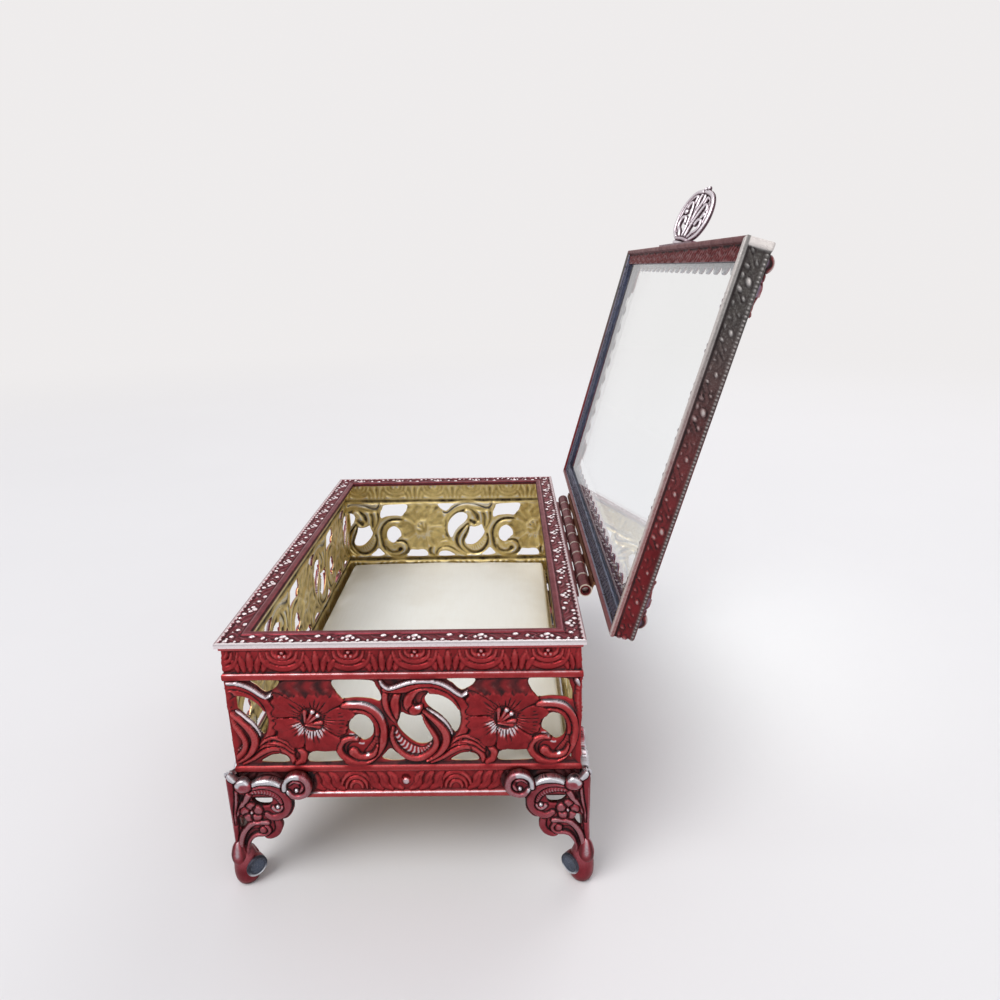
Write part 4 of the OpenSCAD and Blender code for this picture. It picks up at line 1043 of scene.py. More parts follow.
# Painted highlight on the beaded outer edge, strongest on the side that faces the camera.
RIM_EDGE_HIGHLIGHT = (0.5, 1.0, 0.5, 0.45)  # of the outer edge on each side
RIM_VINES = [
    [(-1.6, 3.6), (-2.6, 2.6), (-1.9, 1.6), (-0.8, 1.5)],
    [(1.4, 3.7), (2.6, 3), (3.6, 2), (5, 1.9)],
    [(4.4, 3.7), (5.4, 2.9), (6.4, 2.6), (7.6, 2.9)],
    [(6.8, 1.4), (7.8, 1.7), (8.7, 1.4)],
    [(8.4, 3.7), (9.8, 3.8), (11.2, 3.4), (12, 2.6)],
]


def rim(side):
    """A flange with a beaded outer edge, a band of small foliage and a plain inner bead."""
    length, across = facing(side, BOX_L, BOX_W)
    u, v = even(length, 0.24), even(RIM_W, 0.2)
    r = Relief(u, v, RIM_BED, line=0.1)
    count = int(length // RIM_REPEAT) + 2
    for k in range(-1, count):
        c = length / 2 + 2.7 + (k - count // 2) * RIM_REPEAT
        for line in RIM_VINES:
            r.scroll(moved(line, c, 0), (0.35, 0.75, 0.35), 0.24, 0.1)
        for x, y, size, shine in RIM_DOTS:
            r.boss((c + x, y), size, 0.4, 0.9 * shine, squeeze=1.3, turn=30 + 97 * x)
    wave = 0.75 + 0.16 * np.cos(2 * math.pi * u / 1.9) + 0.1 * np.cos(2 * math.pi * u / 0.83)
    edge = 0.42 * np.clip(1 - (np.maximum(v[:, None] - 0.15, 0) / wave[None, :]) ** 4, 0, 1) ** 0.5
    edge = edge * (0.7 + 0.3 * ease(v / 0.3))[:, None]
    strip = np.clip(1 - ((v - 4.95) / 0.8) ** 4, 0, 1)[:, None] ** 0.5 * 0.4
    r.h = np.clip(np.maximum(r.h, RIM_BED + np.maximum(edge, strip)), 0, RIM_H)
    # Painted highlights: the outer edge, and a pale line along the inner bead.
    worn_and_highlit = RIM_EDGE_HIGHLIGHT[side] * ease((wave[None, :] + 0.1 - v[:, None]) / 0.15)
    worn_and_highlit = np.maximum(worn_and_highlit, 0.3 * ease(1 - np.abs(v - 4.5) / 0.35)[:, None])
    r.shine = np.maximum(r.shine, worn_and_highlit)
    r.h[v > RIM_W - 0.05] = 0.7
    gu, gv = np.meshgrid(u, v)
    inside = np.minimum(gu - gv, length - gu - gv) + 0.02

    def place(pu, pv, h):
        return turned(np.stack([pu - length / 2, -across / 2 + pv, RIM_Z + h], -1), side)

    parts = sheet_parts(u, v, r.h, np.zeros_like(r.h), inside, place, shine=r.shine)
    dress("rim_" + SIDE_NAMES[side], "foliage", "casket", "rim", parts)


for side in range(4):
    rim(side)


# ---------------------------------------------------------------- legs
# One face, drawn from the outer corner inwards and up from the floor.

LEG_WINDOWS = [
    [(5.1, 22.4), (5.7, 23), (7.6, 23.1), (9.4, 23), (9.6, 22.1), (9, 21), (7.7, 20.8),
     (6.3, 21.1)],
    [(2.2, 17.8), (3, 17.7), (3.4, 16.7), (2.9, 15.4), (2, 14.5), (1.7, 15.8), (1.8, 17.1)],
]
# Strokes as on a panel; the high shine on the arch and the horn is a painted highlight.
LEG_SCROLLS = [
    ([(0.6, 27.5), (0.5, 23.8), (0.4, 19.6), (0.3, 15.4), (0.1, 11.3), (-0.4, 8.2)],
     (2.6, 2.4, 1.8), 0.3),
    ([(2.1, 24.9), (1.9, 22.7), (1.5, 20.2), (1.1, 18), (1, 16)], (0.9, 0.9, 0.5), 0.3, 0.1),
    ([(4.9, 25), (4.7, 23.9), (3.7, 22.1), (2.5, 20.2), (1.7, 18.5)], (1.8, 1.4, 0.5), 0.45, 0.1),
    ([(10.3, 16.6), (10.5, 14.8), (9.7, 13.2), (8.2, 12.6), (6.9, 13.1)], (1.6, 2.0, 1.1), 0.25),
    ([(7.7, 15.6), (8.2, 14.4), (7.3, 13.4), (6, 13.2), (4.6, 12.7), (3.6, 11.6), (3, 10),
     (2.8, 8)], (1.2, 1.2, 0.8), 0.38),
    ([(5.9, 14.3), (4.6, 14.3), (3.4, 13.3), (2.7, 11.9), (2.3, 10.2)], (0.8, 1.1, 0.6), -0.25,
     0.25, 11),
    ([(8.1, 16.5), (6, 16.6), (4.6, 16.2), (3.3, 15), (2.3, 13.4), (1.7, 11.6), (1.4, 9.8),
     (1.2, 7.6)], (1.2, 1.4, 1.2), 0.5, 0.1),
    ([(5.8, 25.6), (7.6, 26), (9.6, 25.9), (11.3, 25), (12.6, 23.3), (13, 21.3), (12.3, 19.4),
     (10.8, 18.1), (9.3, 17.9), (8.2, 18.7)], (1.0, 2.0, 1.4), 0.45),
    ([(5.2, 24.3), (7.3, 24.6), (9.3, 24.2), (10.9, 23.1), (11.6, 21.6)], (0.9, 1.5, 1.0), 0.24,
     0.25, 13),
    ([(5.3, 26.1), (6.7, 26.9), (8.6, 27.2), (10.6, 26.9), (12.2, 26)], (1.0, 1.6, 1.0), 0.6, 0.85),
    ([(9.8, 20.4), (10.8, 19.9), (11.7, 20.6)], (1.2, 1.5, 0.9), 0.4, 0.2),
    ([(12.6, 25.2), (13, 27.2), (14.6, 28.3), (16.5, 28.2), (17.7, 27), (17.9, 25.3), (17.2, 23.9),
     (15.8, 23.2), (14.4, 23.4), (13.5, 24.6)], (1.3, 1.7, 1.2), 0.55, 0.1),
    ([(13.8, 26.4), (14.9, 27.2), (16.2, 26.7), (16.6, 25.4), (15.9, 24.6), (15.2, 24.7)],
     (0.6, 0.9, 0.8), 0.35, 0.1),
    ([(0.9, 29.4), (1.3, 28.5), (2.3, 27.3)], (1.5, 2.0, 1.2), 0.6, 0.9),
]
LEG_FLOWER = (4.9, 19.2)


def leg_relief():
    """One face of a leg: its relief, and the distance to its nearest edge."""
    step = 0.17
    s = np.arange(0, LEG_W + step, step)
    z = np.arange(4.2, 29.6 + step, step)
    r = Relief(s, z, LEG_T, line=0.3)
    for line in LEG_SCROLLS:
        r.scroll(*line)
    r.dish((2.9, 23), 0.8, 0.6, squeeze=0.55)
    r.dish((16.4, 26.2), 0.8, 0.35)
    r.boss((3.7, 26), 2.0, 0.6, 0.25, squeeze=1.15)
    # Painted highlights on the tops of the boss and of the curl, which face the light, and down the
    # corner.
    r.polish([(2.2, 25.8), (2.9, 26.9), (4.2, 27.3), (5.4, 26.9)], 2.0, 0.85)
    r.polish([(13.6, 23.8), (12.8, 25.6), (13.3, 27.2), (14.8, 28.3), (16.4, 28.3)], 1.7, 0.85)
    r.polish([(0.4, 26), (0.3, 20), (0.2, 12)], 0.5, 0.5)
    r.boss((6.9, 14.5), 0.95, 0.4)
    r.boss((10.8, 20.7), 0.55, 0.5, 1.0)
    r.boss((15.3, 24.9), 0.55, 0.5, 1.0)
    for angle in range(95, 455, 72):
        r.boss(polar(LEG_FLOWER, 1.45, angle), 1.25, 0.42, 0.05)
    for angle in range(59, 419, 72):
        r.groove([polar(LEG_FLOWER, 0.5, angle), polar(LEG_FLOWER, 1.7, angle)], 0.6, 0.3)
    r.dish(LEG_FLOWER, 1.0, 0.25)
    r.boss(LEG_FLOWER, 0.45, 0.4, 0.4)
    outline = signed_distance(*np.meshgrid(s, z), LEG_EDGE)
    for window in LEG_WINDOWS:
        r.hole(window)
    r.h = np.clip(r.h, LEG_T - 0.8, LEG_T + LEG_RELIEF)
    return r, np.minimum(outline, r.open)


LEG_R = 1.1  # radius of the outer corner of a leg
# Half sections: of the foot and of the heel above it, as shares of the foot's radius and height,
# and of the disc of a curl, as shares of its radius
FOOT = [
    (0.62, 0), (0.8, 0.05), (0.95, 0.16), (1, 0.3), (0.98, 0.46), (0.9, 0.62), (0.72, 0.78),
    (0.52, 0.92), (0.4, 1),
]
HEEL = [
    (0.3, 0.5), (0.6, 0.62), (0.68, 0.8), (0.52, 1), (0.28, 1.12), (0.05, 1.18),
]
DISH = [
    (0.55, 0), (0.85, 0.15), (0.98, 0.35), (1, 1.1), (0.97, 1.25), (0.88, 1.3), (0.78, 1.26),
    (0.5, 1.23), (0.05, 1.22),
]


def leg_place(mx, my):
    """Wraps (distance from the corner, height, depth) round the corner of the box at mx, my."""

    def place(s, z, h):
        flat = LEG_T + LEG_RELIEF - LEG_R
        out = h - LEG_T - LEG_RELIEF + LEG_R
        arc = LEG_R * math.pi / 4
        bend = np.clip(np.abs(s) / LEG_R, 0, math.pi / 4)
        turn = math.pi / 4 - bend
        along = np.maximum(np.abs(s) - arc, 0)
        # on the half with s above 0 the face looks along X, and on the other along Y
        to_x = flat + out * np.cos(turn)
        to_y = flat + out * np.sin(turn) - along
        x, y = np.where(s >= 0, to_x, to_y), np.where(s >= 0, to_y, to_x)
        return np.stack([mx * (PANEL_L / 2 + x), my * (PANEL_W / 2 + y), z], -1)

    return place


def foot_layers(p):
    """Lighter towards the top, a painted highlight, and dark at the floor."""
    return {"wear": 0.35 * ease((p[:, 2] - 3) / 4), "grime": 0.5 * ease((1.2 - p[:, 2]) / 1)}


def heel_layers(p):
    """Bright and dark by turns round the axis."""
    twice = 2 * np.arctan2(p[:, 1], p[:, 0])
    return {"wear": 0.7 * ease((p[:, 2] - 6.5) / 2) * np.cos(twice) ** 2,
            "grime": 0.5 * np.sin(twice) ** 8}


def disc_layers(p):
    """A curl's disc: slate dish, painted highlight on the lip's lower part, painted shade above."""
    rho, z = np.hypot(p[:, 0], p[:, 1]) / CURL_R, p[:, 2] / CURL_R
    lip = ease((rho - 0.72) / 0.12) * ease((z - 1.0) / 0.15)
    below = ease(0.3 - p[:, 1] / CURL_R)
    hollow = ease(1 - np.abs(rho - 0.7) / 0.1) * ease((z - 1.0) / 0.1)
    return {"tint": ease((z - 0.9) / 0.2), "wear": lip * below ** 2,
            "grime": np.maximum(0.5 * hollow, 0.55 * lip * (1 - below))}


def leg(mx, my, relief, inside):
    """A cast leg: its two faces in one sheet round the corner, a foot, a heel and two curls."""
    place, sense = leg_place(mx, my), mx * my
    s = np.concatenate([-relief.x[:0:-1], relief.x])
    outer, around, shine = (np.concatenate([field[:, :0:-1], field], 1)[:, ::-sense]
                            for field in (relief.h, inside, relief.shine))
    sheet = sheet_parts(-sense * s[::-sense], relief.y, outer, np.zeros_like(outer), around,
                        lambda u, v, h: place(sense * u, v, h), edge_drop=0.3, shine=shine)
    low = (FOOT_R, FOOT_H)
    cx, cy = mx * (PANEL_L / 2 + FOOT_OUT), my * (PANEL_W / 2 + FOOT_OUT)
    foot = lathe(FOOT, low, Matrix.Translation((cx, cy, 0)), foot_layers)
    hx, hy = mx * (PANEL_L / 2 + HEEL_OUT), my * (PANEL_W / 2 + HEEL_OUT)
    heel = lathe(HEEL, low, Matrix.Translation((hx, hy, 0)), heel_layers)
    curls = []
    for along_x in (True, False):
        dx, dy = (0.5, -1.05) if along_x else (-1.05, 0.5)
        face = cx + mx * FOOT_R * dx, cy + my * FOOT_R * dy, FOOT_H * 0.45
        ahead = Vector((mx if along_x else -mx, -my if along_x else my, 0)).normalized()
        turn = ahead.to_track_quat("Z", "Y").to_matrix().to_4x4()
        start = Matrix.Translation(Vector(face) - ahead * CURL_R * 1.3) @ turn
        curls.append(lathe(DISH, (CURL_R, CURL_R), start, disc_layers))
    dress(at_corner("leg", mx, my), "cast", "casket", "leg", joined(sheet, foot, heel, *curls))


relief, inside = leg_relief()
for corner in CORNERS:
    leg(*corner, relief, inside)


# ---------------------------------------------------------------- lid frame

FLANGE_W = 4.2
ROLL_W = 1.2
ROLL_DROP = 0.8
BORDER_W = 4.6
SCALLOP_GAP = 5.8
SCALLOP_R = 1.9
LID_WALL = 0.8
SKIRT_BED = -0.26  # depth of the skirt between its ornaments


def rail_section():
    """Outer line of the lid frame: distances along it, its points and its normals.

    A point is a distance in from the edge and a height above the lower edge.
    """
    r, roll = 0.6, ROLL_W / 2
    line = [(FLANGE_W, ROLL_DROP), (ROLL_W + 0.12, ROLL_DROP), (ROLL_W, ROLL_DROP - 0.1)]
    line += [(roll + roll * math.cos(t), roll - roll * math.sin(t))
             for t in np.linspace(0, math.pi, 9)]
    line += [(0.0, LID_T - r)]
    line += [(r - r * math.cos(t), LID_T - r + r * math.sin(t)) for t in np.linspace(0.3, 1.3, 4)]
    line += [(r, LID_T), (BORDER_W + SCALLOP_R, LID_T)]
    p = np.array(line)
    along = np.concatenate([[0], np.cumsum(np.hypot(*np.diff(p, axis=0).T))])
    fine_s = np.linspace(0, along[-1], 400)
    q = np.column_stack([np.interp(fine_s, along, p[:, k]) for k in (0, 1)])
    d = np.gradient(q, axis=0)
    d /= np.linalg.norm(d, axis=1)[:, None]
    normal = np.column_stack([d[:, 1], d[:, 0]]) * (-1, 1)
    return fine_s, q, normal


SECTION_S, SECTION_P, SECTION_N = rail_section()
SKIRT_S = SECTION_S[np.argmin(np.hypot(SECTION_P[:, 0], SECTION_P[:, 1] - 0.6))] - 0.6
BORDER_S = SECTION_S[-1] - SCALLOP_R
UNDER_S = FLANGE_W - ROLL_W - 0.1
SKIRT_REPEAT = 7.8
SKIRT_VINES = [
    [(-3.4, 2.4), (-2, 3.2), (-0.8, 2.6)],
    [(0.6, 1.5), (1.8, 1.6), (3, 2.4), (4.2, 3.4)],
]
# x, y, turn, size and shine
SKIRT_BUDS = [
    (0, 3.2, 30, 1.0, 0.65), (1.4, 2.0, 55, 0.85, 0.5), (-0.9, 1.8, 15, 0.65, 0.35),
    (2.9, 3.3, 40, 0.6, 0.35), (-2.5, 2.0, 70, 0.7, 0.25), (3.9, 1.8, 20, 0.55, 0.2),
    (-3.2, 3.5, 50, 0.5, 0.3),
]
# Painted highlight on the rolled edge, strongest on the side that faces the camera.
ROLL_HIGHLIGHT = (0.0, 0.95, 0.45, 0.3)  # of the rolled edge on each side
UNDER_SLATE = (0.0, 0.6, 1.0, 1.0)  # share of slate on the flange on each side


def lid_rail(side):
    """One side of the lid frame: a flange below, an ornamented skirt and a scalloped border."""
    length, across = facing(side, LID_L, LID_W)
    u, s = even(length, 0.27), even(SECTION_S[-1], 0.25)
    r = Relief(u, s, SKIRT_BED, line=0.08)
    base = SKIRT_S
    count = int(length // SKIRT_REPEAT) + 2
    for k in range(count):
        c = length / 2 + (k - count // 2) * SKIRT_REPEAT + 0.7 * math.sin(2.3 * k)
        vary = 0.8 + 0.2 * math.sin(4.1 * k)
        for line in SKIRT_VINES:
            r.scroll(moved(line, c, base), (0.4, 0.9, 0.4), 0.16, flat=0.8)
        for x, y, turn, size, shine in SKIRT_BUDS:
            r.boss((c + x, base + y), size * vary, 0.25, 0.75 * vary * shine, 1.7, turn)
        r.scroll([(c - 1.8, BORDER_S - 3.3), (c - 0.8, BORDER_S - 1.9), (c + 0.4, BORDER_S - 1.5),
                  (c + 1.6, BORDER_S - 2.3)], (0.4, 0.9, 0.4), 0.24)
    crimps = 0.5 + 0.5 * np.cos(2 * math.pi * u / 0.75)[None, :]
    lip = ease(1 - np.abs(s - base - 0.5) / 0.75)[:, None]
    gallery = ease(1 - np.abs(s - base - 4.7) / 0.7)[:, None]
    flange = ease((UNDER_S - s) / 0.25)[:, None]
    roll = ease((s - UNDER_S + 0.1) / 0.2)[:, None] * ease((base + 1.2 - s) / 0.3)[:, None]
    for bead in (lip, gallery * (0.45 + 0.55 * crimps), roll):
        r.h = np.maximum(r.h, SKIRT_BED * (1 - bead))
    for k in range(int(length / 1.5)):
        for row, reach in ((0.75, 0.9), (2.1, 1.0)):
            c = 0.8 + k * 1.5 + 0.5 * math.sin(7.3 * k + 3 * row)
            tip = row + 0.35 * math.sin(5.1 * k + row)
            r.scroll([(c - 0.5, tip - 0.5), (c, tip), (c + 0.55, tip + 0.35 * reach)],
                     (0.3, 0.55, 0.3), 0.2)
            if (3 * k + int(row)) % 4:
                r.boss((c + 0.45, tip + 0.3), 0.27, 0.24, 0.4)
    r.h = r.h * (1 - flange) + np.clip(r.h, -0.3, -0.02) * flange
    scallops = np.full(r.h.shape, -1e3)
    w = BORDER_W + SCALLOP_R
    gu, gs = np.meshgrid(u, s)
    number = int((length - 2 * w) // SCALLOP_GAP)
    tip = BORDER_S + SCALLOP_R - 1.1
    beads = []
    for k in range(number + 1):
        c = length / 2 + (k - number / 2) * SCALLOP_GAP
        scallops = np.maximum(scallops, SCALLOP_R - np.hypot(gu - c, gs - (BORDER_S - 0.5)))
        beads.append(np.hypot(gu - c, gs - tip))
        r.scroll([(c - 1.5, BORDER_S - 0.9), (c, BORDER_S + 0.9), (c + 1.5, BORDER_S - 0.9)],
                 (0.5, 0.8, 0.5), 0.26, 0.6)
    border = np.maximum(BORDER_S - gs, scallops)
    wall = np.where(roll > 0.5, 0.35, np.where(flange > 0.5, 0.7, LID_WALL))
    wall = wall + 0.3 * ease(1.6 * (1 - np.min(beads, 0) / 0.7))
    depth = np.interp(s, SECTION_S, SECTION_P[:, 0])[:, None]
    inside = np.minimum(border, np.minimum(gu, length - gu) - depth + 0.02)
    r.h = np.clip(r.h, -0.34, 0.0)

    def place(pu, ps, h):
        normal = np.stack([np.interp(ps, SECTION_S, SECTION_N[:, k]) for k in (0, 1)], -1)
        at = np.stack([np.interp(ps, SECTION_S, SECTION_P[:, k]) for k in (0, 1)], -1)
        here = at + normal * h[..., None]
        inwards = np.maximum(here[..., 0] - at[..., 0], 0)
        near = np.clip(1 - np.minimum(pu, length - pu) / 12, 0, 1) * inwards
        pu = pu + np.where(pu < length / 2, near, -near)
        p = np.stack([pu - length / 2, -across / 2 + here[..., 0], LID_Z + here[..., 1]], -1)
        p = turned(p, side)
        p[..., 1] += LID_MID
        return opened(p)

    # Painted highlights: along the middle of the roll, strongest on the side that faces the camera,
    # and on the crimps of the gallery; on the side rails the ornaments shine more towards the free
    # end.
    roll_highlight_profile = 0.5 + 0.5 * ease(1 - np.abs(s - base + 0.2) / 0.8)[:, None]
    from_hinge = {RIGHT: 1 - gu / length, LEFT: gu / length}.get(side, 0.4)
    shine = r.shine * (1 - roll) * (0.6 + 0.4 * from_hinge)
    for worn_and_highlit in (ROLL_HIGHLIGHT[side] * roll * roll_highlight_profile, 0.4 * gallery * crimps):
        shine = np.maximum(shine, worn_and_highlit)
    # A painted highlight on the end of the skirt at the free corner on the camera's side, where the
    # relief is flattened.
    skirt = ease((s - base - 0.8) / 0.3) * ease((BORDER_S - 2.5 - s) / 0.5)
    corner_highlight = {RIGHT: ease((1.8 - u) / 0.6), FRONT: ease((u - length + 1.8) / 0.6)}.get(side, 0 * u)
    shine = np.maximum(shine, skirt[:, None] * corner_highlight[None, :])
    r.h = r.h - (r.h + 0.04) * skirt[:, None] * corner_highlight[None, :]
    # Painted shade: a dark line between the roll and the skirt, left off under the corner highlight.
    soot_and_shade = 0.9 * ease(1 - np.abs(s - base - 1.25) / 0.35)[:, None] * (1 - corner_highlight)[None, :]
    # Painted reflection: the second tone comes in towards the lid's free end, and the crimped
    # gallery takes it too, above the flange.
    tint = np.maximum(ease(1.5 * from_hinge - 0.3), gallery) * (gs > UNDER_S + 0.2)
    # On the front rail the roll is darkened, a painted shade, and keeps the first tone.
    if side == FRONT:
        soot_and_shade, tint = np.maximum(soot_and_shade, 0.3 * roll), tint * (1 - roll)
    slate = UNDER_SLATE[side] * (gs <= UNDER_S + 0.2)
    parts = sheet_parts(u, s, r.h, -wall, inside, place, shine=shine, soot_and_shade=soot_and_shade, tint=tint,
                        reverse=slate)
    dress("lid_rail_" + SIDE_NAMES[side], "stamped", "lid", "lid", parts)


for side in range(4):
    lid_rail(side)


def lid_corner(mx, my):
    """A bud over the mitre, into the lid from its corner, with a veined leaf along each side."""
    into = 3.45
    axis = np.arange(-12.0, 1.8, 0.22)
    r = Relief(axis, -axis[::-1], 0.0)
    for swap in (False, True):
        arm = [(0.2, 0), (-2.2, -0.5), (-4.6, -0.7), (-6.8, 0.3), (-9, -0.5)]
        vein = [(-0.8, -0.3), (-3.6, -0.6), (-6.4, 0.1), (-8.4, -0.3)]
        lobe = [(-3, -0.6), (-4.4, -1.7), (-5.6, -1.6)]
        for line, widths, height in ((arm, (1.8, 2.5, 0.6), 1.0), (lobe, (0.9, 1.1, 0.5), 0.9)):
            r.scroll([(-y, -x) if swap else (x, y) for x, y in line], widths, height, 0.2)
        r.groove([(-y, -x) if swap else (x, y) for x, y in vein], 0.5, 0.35)
    r.boss((0, 0), 1.9, 1.95, 0.4)
    r.groove([(-1.3, 1.3), (-0.4, 0.4), (0.5, -0.5)], 0.5, 0.4)

    def place(pu, pv, h):
        x, y = mx * (LID_L / 2 - into + pu), my * (LID_W / 2 - into - pv) + LID_MID
        return opened(np.stack([x, y, LID_Z + LID_T + h - 0.02], -1))

    top = np.maximum(r.h, 0.12)
    vertices, faces, layers = sheet_parts(r.x, r.y, top, np.zeros_like(top), r.cover, place,
                                          shine=r.shine)
    if mx * my > 0:
        faces = faces[:, ::-1]
    dress(at_corner("lid_corner", mx, my), "leaf", "lid", "lid", (vertices, faces, layers))


for corner in CORNERS:
    lid_corner(*corner)


# ---------------------------------------------------------------- thumb lift

TAB_L, TAB_W, TAB_T = 15.0, 12.5, 1.2
TAB_TILT, TAB_TURN = math.radians(11), math.radians(22)
TAB_FOOT_T = 0.7
# Right half, as shares of the width and the length
TAB_STROKES = [
    ([(0.18, 0.08), (0.36, 0.19), (0.45, 0.36), (0.455, 0.55), (0.38, 0.73), (0.24, 0.85),
     (0, 0.9)], (1.1, 1.25, 1.4)),
    ([(0.05, 0.05), (0.05, 0.28), (0.12, 0.52), (0.2, 0.68), (0.29, 0.66), (0.31, 0.54)],
     (1.0, 0.9, 1.1)),
    ([(0.1, 0.05), (0.2, 0.2), (0.33, 0.29), (0.32, 0.42), (0.22, 0.44), (0.17, 0.36)],
     (1.0, 1.1, 1.0)),
    ([(0.03, 0.06), (0.05, 0.3), (0.01, 0.52), (0.07, 0.74), (0.03, 0.88)], (0.9, 1.2, 0.9)),
    ([(0.4, 0.4), (0.38, 0.58), (0.3, 0.76), (0.17, 0.8), (0.14, 0.7)], (0.8, 1.0, 1.1)),
    ([(0.12, 0.08), (0.27, 0.16), (0.38, 0.3)], (0.9, 1.0, 0.8)),
]


def thumb_tab():
    """An openwork shell of round wires, pressed together where they meet."""
    step = 0.15
    u = np.arange(-TAB_W / 2 - 0.5, TAB_W / 2 + 0.5 + step, step)
    v = np.arange(0, TAB_L + step, step)
    r = Relief(u, v, 0.0, line=0.12)
    for m in (-1, 1):
        for line, widths in reversed(TAB_STROKES):
            wire = [(m * x * TAB_W, y * TAB_L) for x, y in line]
            r.scroll(wire, widths, TAB_T / 2, 0.6, flat=0.5)
        r.boss((m * 0.3 * TAB_W, 0.53 * TAB_L), 0.75, TAB_T / 2, 1.0)
    r.scroll([(-2.4, 0.3), (0, 0.3), (2.4, 0.3)], 1.2, TAB_T / 2, 0.9)
    r.scroll([(-2.2, 1.3), (0, 1.5), (2.2, 1.3)], 1.1, TAB_T / 2, 0.4)
    r.boss((-0.55, TAB_L * 0.93), 0.5, TAB_T / 2, 0.9)
    r.boss((0.45, TAB_L * 0.95), 0.6, TAB_T / 2, 1.0)
    sheet_h = np.clip(r.h, 0.08, TAB_T / 2)

    def place(pu, pv, h):
        c, s = math.cos(TAB_TURN), math.sin(TAB_TURN)
        x, z = pu * c + h * s, pu * s - h * c
        c, s = math.cos(TAB_TILT), math.sin(TAB_TILT)
        y, z = -pv * c + z * s, pv * s + z * c
        y = np.minimum(y, 0) + LID_FRONT - TAB_FOOT_T
        return opened(np.stack([x, y, LID_Z + LID_T / 2 + z], -1))

    parts = sheet_parts(u, v, sheet_h, -sheet_h, r.cover, place, shine=r.shine)
    layers = parts[2]
    layers["inside"][:] = 0
    layers["wear"] = np.maximum(layers["wear"], 0.2)
    dress("thumb_tab", "openwork", "lid", "tab", parts)


thumb_tab()


# ---------------------------------------------------------------- pad


def lining_pad():
    """A satin pad: swollen by cloth simulation inside its space, flat where it lies on the card."""
    low, high = node_box("lining_pad")
    size, middle = high - low, (high + low) / 2
    bm = bmesh.new()
    bmesh.ops.create_cube(bm, size=1)
    bmesh.ops.scale(bm, vec=Vector(size - (1.4, 1.4, 1.2)) * MM, verts=bm.verts)
    bmesh.ops.translate(bm, vec=Vector(middle - (0, 0, 0.6)) * MM, verts=bm.verts)
    mesh = bpy.data.meshes.new("lining_pad_satin")
    bm.to_mesh(mesh)
    bm.free()
    piece = put("lining_pad_satin", mesh)
    remesh = piece.modifiers.new("made", "REMESH")
    remesh.mode, remesh.voxel_size = "VOXEL", 1.5 * MM
    apply_all(piece)
    rest = coordinates(piece)
    swell(piece)
    settle(piece, rest, low, high)
    smooth = piece.modifiers.new("round", "SUBSURF")
    smooth.levels = smooth.render_levels = 1
    piece.data.shade_smooth()
    piece.data.materials.append(SATIN)
    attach(piece, "casket")
    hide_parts("lining_pad")


def apply_all(piece):
    """Turns a piece's modifiers into its mesh."""
    graph = bpy.context.evaluated_depsgraph_get()
    made = bpy.data.meshes.new_from_object(piece.evaluated_get(graph))
    piece.modifiers.clear()
    piece.data = made


def coordinates(piece):
    """A piece's vertices in metres."""
    flat = np.zeros(len(piece.data.vertices) * 3, np.float32)
    piece.data.vertices.foreach_get("co", flat)
    return flat.reshape(-1, 3).astype(float)


def swell(piece):
    """Blows the pad up a little with cloth simulation, without gravity."""
    frames, pressure = 14, 3.0
    cloth = piece.modifiers.new("cloth", "CLOTH")
    cloth.settings.use_pressure = True
    cloth.settings.uniform_pressure_force = pressure
    cloth.settings.effector_weights.gravity = 0
    cloth.settings.quality = 4
    cloth.point_cache.frame_start = 1
    cloth.point_cache.frame_end = frames
    for number in range(1, frames + 1):
        bpy.context.scene.frame_set(number)
    apply_all(piece)
    bpy.context.scene.frame_set(1)


def settle(piece, rest, low, high):
    """Limits how far the pad moved, and keeps it in its space and flat underneath."""
    farthest = 1.3
    rest = rest / MM
    move = coordinates(piece) / MM - rest
    far = np.linalg.norm(move, axis=1, keepdims=True)
    now = rest + move * np.minimum(1, farthest / np.maximum(far, 1e-6))
    centre = (low + high) / 2
    half = (high - low) / 2
    q = np.clip(np.abs(now[:, :2] - centre[:2]) / half[:2], 0, 1)
    sag = 0.5 * (q[:, 0] ** 6 + q[:, 1] ** 6)
    x, y = now[:, 0], now[:, 1]
    drift = 0.12 * np.sin(x / 9.5 + 0.8) * np.cos(y / 7.3) + 0.07 * np.sin(y / 3.1 + x / 14)
    top = now[:, 2] > centre[2]
    now[:, 2] += np.where(top, drift - sag, 0)
    now[:, :2] = np.clip(now[:, :2], low[:2], high[:2])
    now[:, 2] = np.clip(now[:, 2], low[2], high[2] + 0.4)
    piece.data.vertices.foreach_set("co", (now * MM).astype(np.float32).ravel())
    piece.data.update()


lining_pad()


# ---------------------------------------------------------------- CAD pieces that keep their shape

for name, material in {
    "base_plate": METAL["base"],
    "lining_card": CARD,
    "hinge_leaf_body": METAL["hinge"],
    "hinge_leaf_lid": METAL["hinge_lid"],
    "hinge_pin": STEEL,
    "lid_glass": GLASS,
    "tab_foot": METAL["tab"],
}.items():
    mesh = frame["nodes"][name].data
    mesh.materials.clear()
    mesh.materials.append(material)


# ---------------------------------------------------------------- stage, light and camera
# In metres.

GROUND = (0.86, 0.84, 0.84)
FLOOR_R = 6.0
FADE = (0.22, 1.1)  # distances between which the floor turns into the background


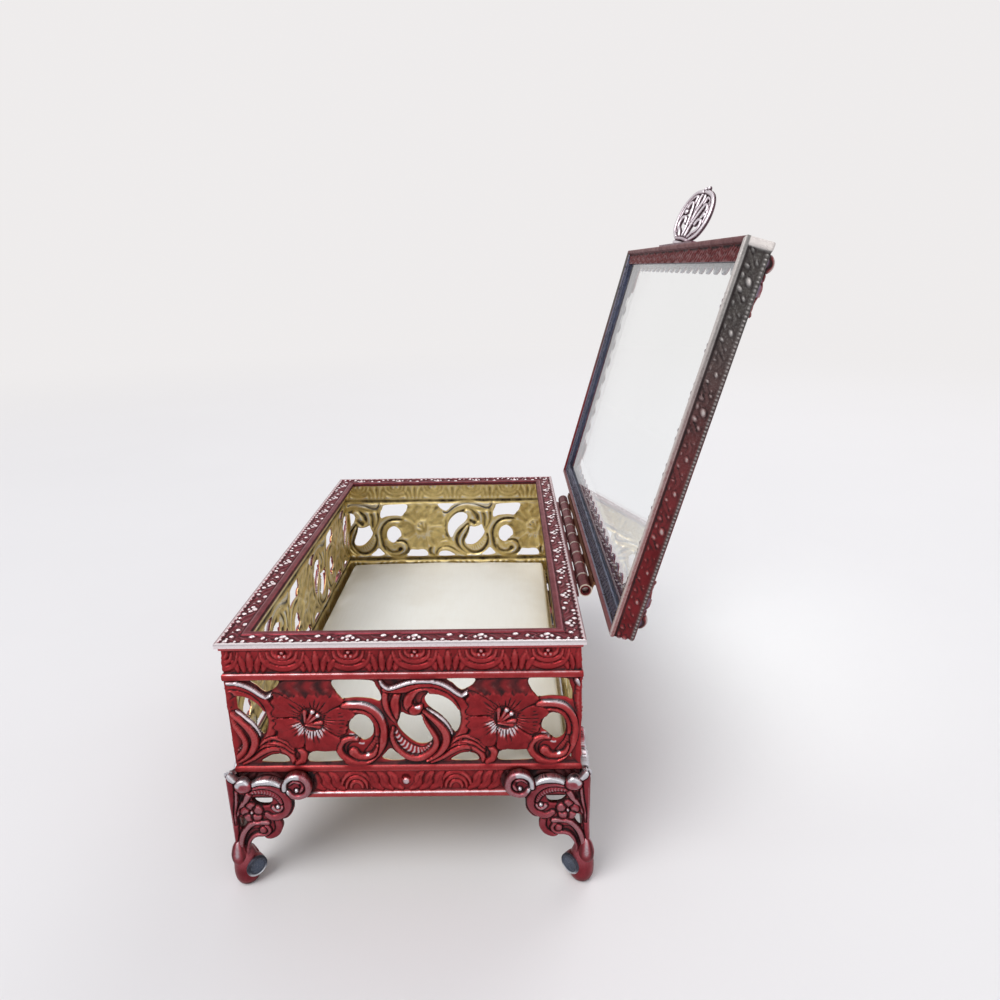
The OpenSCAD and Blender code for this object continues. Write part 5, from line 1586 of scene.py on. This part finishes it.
def stage():
    """A plain pale floor that turns into the background away from the box."""
    mesh = bpy.data.meshes.new("floor")
    corners = [(x * FLOOR_R, y * FLOOR_R, 0) for x, y in ((-1, -1), (1, -1), (1, 1), (-1, 1))]
    mesh.from_pydata(corners, [], [(0, 1, 2, 3)])
    floor = put("floor", mesh)
    n = Nodes("floor_pale")
    n.finish(Base_Color=n.mix(n.noise(9, 3), (0.8, 0.78, 0.78), (0.77, 0.75, 0.75)), Roughness=0.6)
    reach = n.add("ShaderNodeVectorMath", operation="LENGTH")
    n.link(n.place, reach.inputs[0])
    share = n.math("MULTIPLY", n.ramp(reach.outputs["Value"], *FADE), n.seen_by_eye())
    n.show(share, n.shader, n.plain("ShaderNodeEmission", GROUND))
    mesh.materials.append(n.material)


def world():
    """Even bluish light, behind a background of one pale tone."""
    studio = bpy.data.worlds.new("studio")
    bpy.context.scene.world = studio
    n = Nodes("studio", studio)
    shade = n.tree.nodes["Background"]
    shade.inputs["Color"].default_value = (0.9, 0.93, 1.0, 1)
    shade.inputs["Strength"].default_value = 0.5
    n.show(n.seen_by_eye(), shade, n.plain("ShaderNodeBackground", GROUND))


def light(name, kind, place, target, power, **values):
    """A lamp at a place, turned to a target."""
    data = bpy.data.lights.new(name, kind)
    data.energy = power
    for key, value in values.items():
        setattr(data, key, value)
    piece = put(name, data)
    piece.location = place
    piece.rotation_euler = (Vector(target) - Vector(place)).to_track_quat("-Z", "Y").to_euler()


def camera():
    """The photograph's viewpoint: just off the short side, looking down a little."""
    yaw, pitch, roll = math.radians(-0.68), math.radians(17.89), math.radians(-0.99)
    level = math.cos(pitch)
    ahead = Vector((-math.cos(yaw) * level, math.sin(yaw) * level, -math.sin(pitch)))
    right = ahead.cross(Vector((0, 0, 1))).normalized()
    up = right.cross(ahead)
    c, s = math.cos(roll), math.sin(roll)
    turn = Matrix((right * c + up * s, up * c - right * s, -ahead)).transposed().to_4x4()
    data = bpy.data.cameras.new("camera")
    data.sensor_width, data.lens = SENSOR, SENSOR * LENS_SHARE
    data.clip_start, data.clip_end = 0.005, 50
    eye = put("camera", data)
    eye.matrix_world = Matrix.Translation(EYE) @ turn
    bpy.context.scene.camera = eye


EYE = (0.19004, 0.02246, 0.13196)
SENSOR, LENS_SHARE = 36, 0.72118
TARGET = (0, 0, 0.05)
stage()
world()
light("sky_light", "SUN", (0, 0, 0), (-0.45, 0.5, -1.0), 1.3, angle=math.radians(40))
light("key", "AREA", (0.7, -0.7, 0.9), TARGET, 4, size=0.8)
light("fill", "AREA", (1.0, 0.6, 0.5), TARGET, 2, size=0.8)
light("back", "AREA", (-0.8, 0.5, 0.9), TARGET, 3, size=0.7)
camera()
bpy.context.scene.view_settings.view_transform = "Standard"
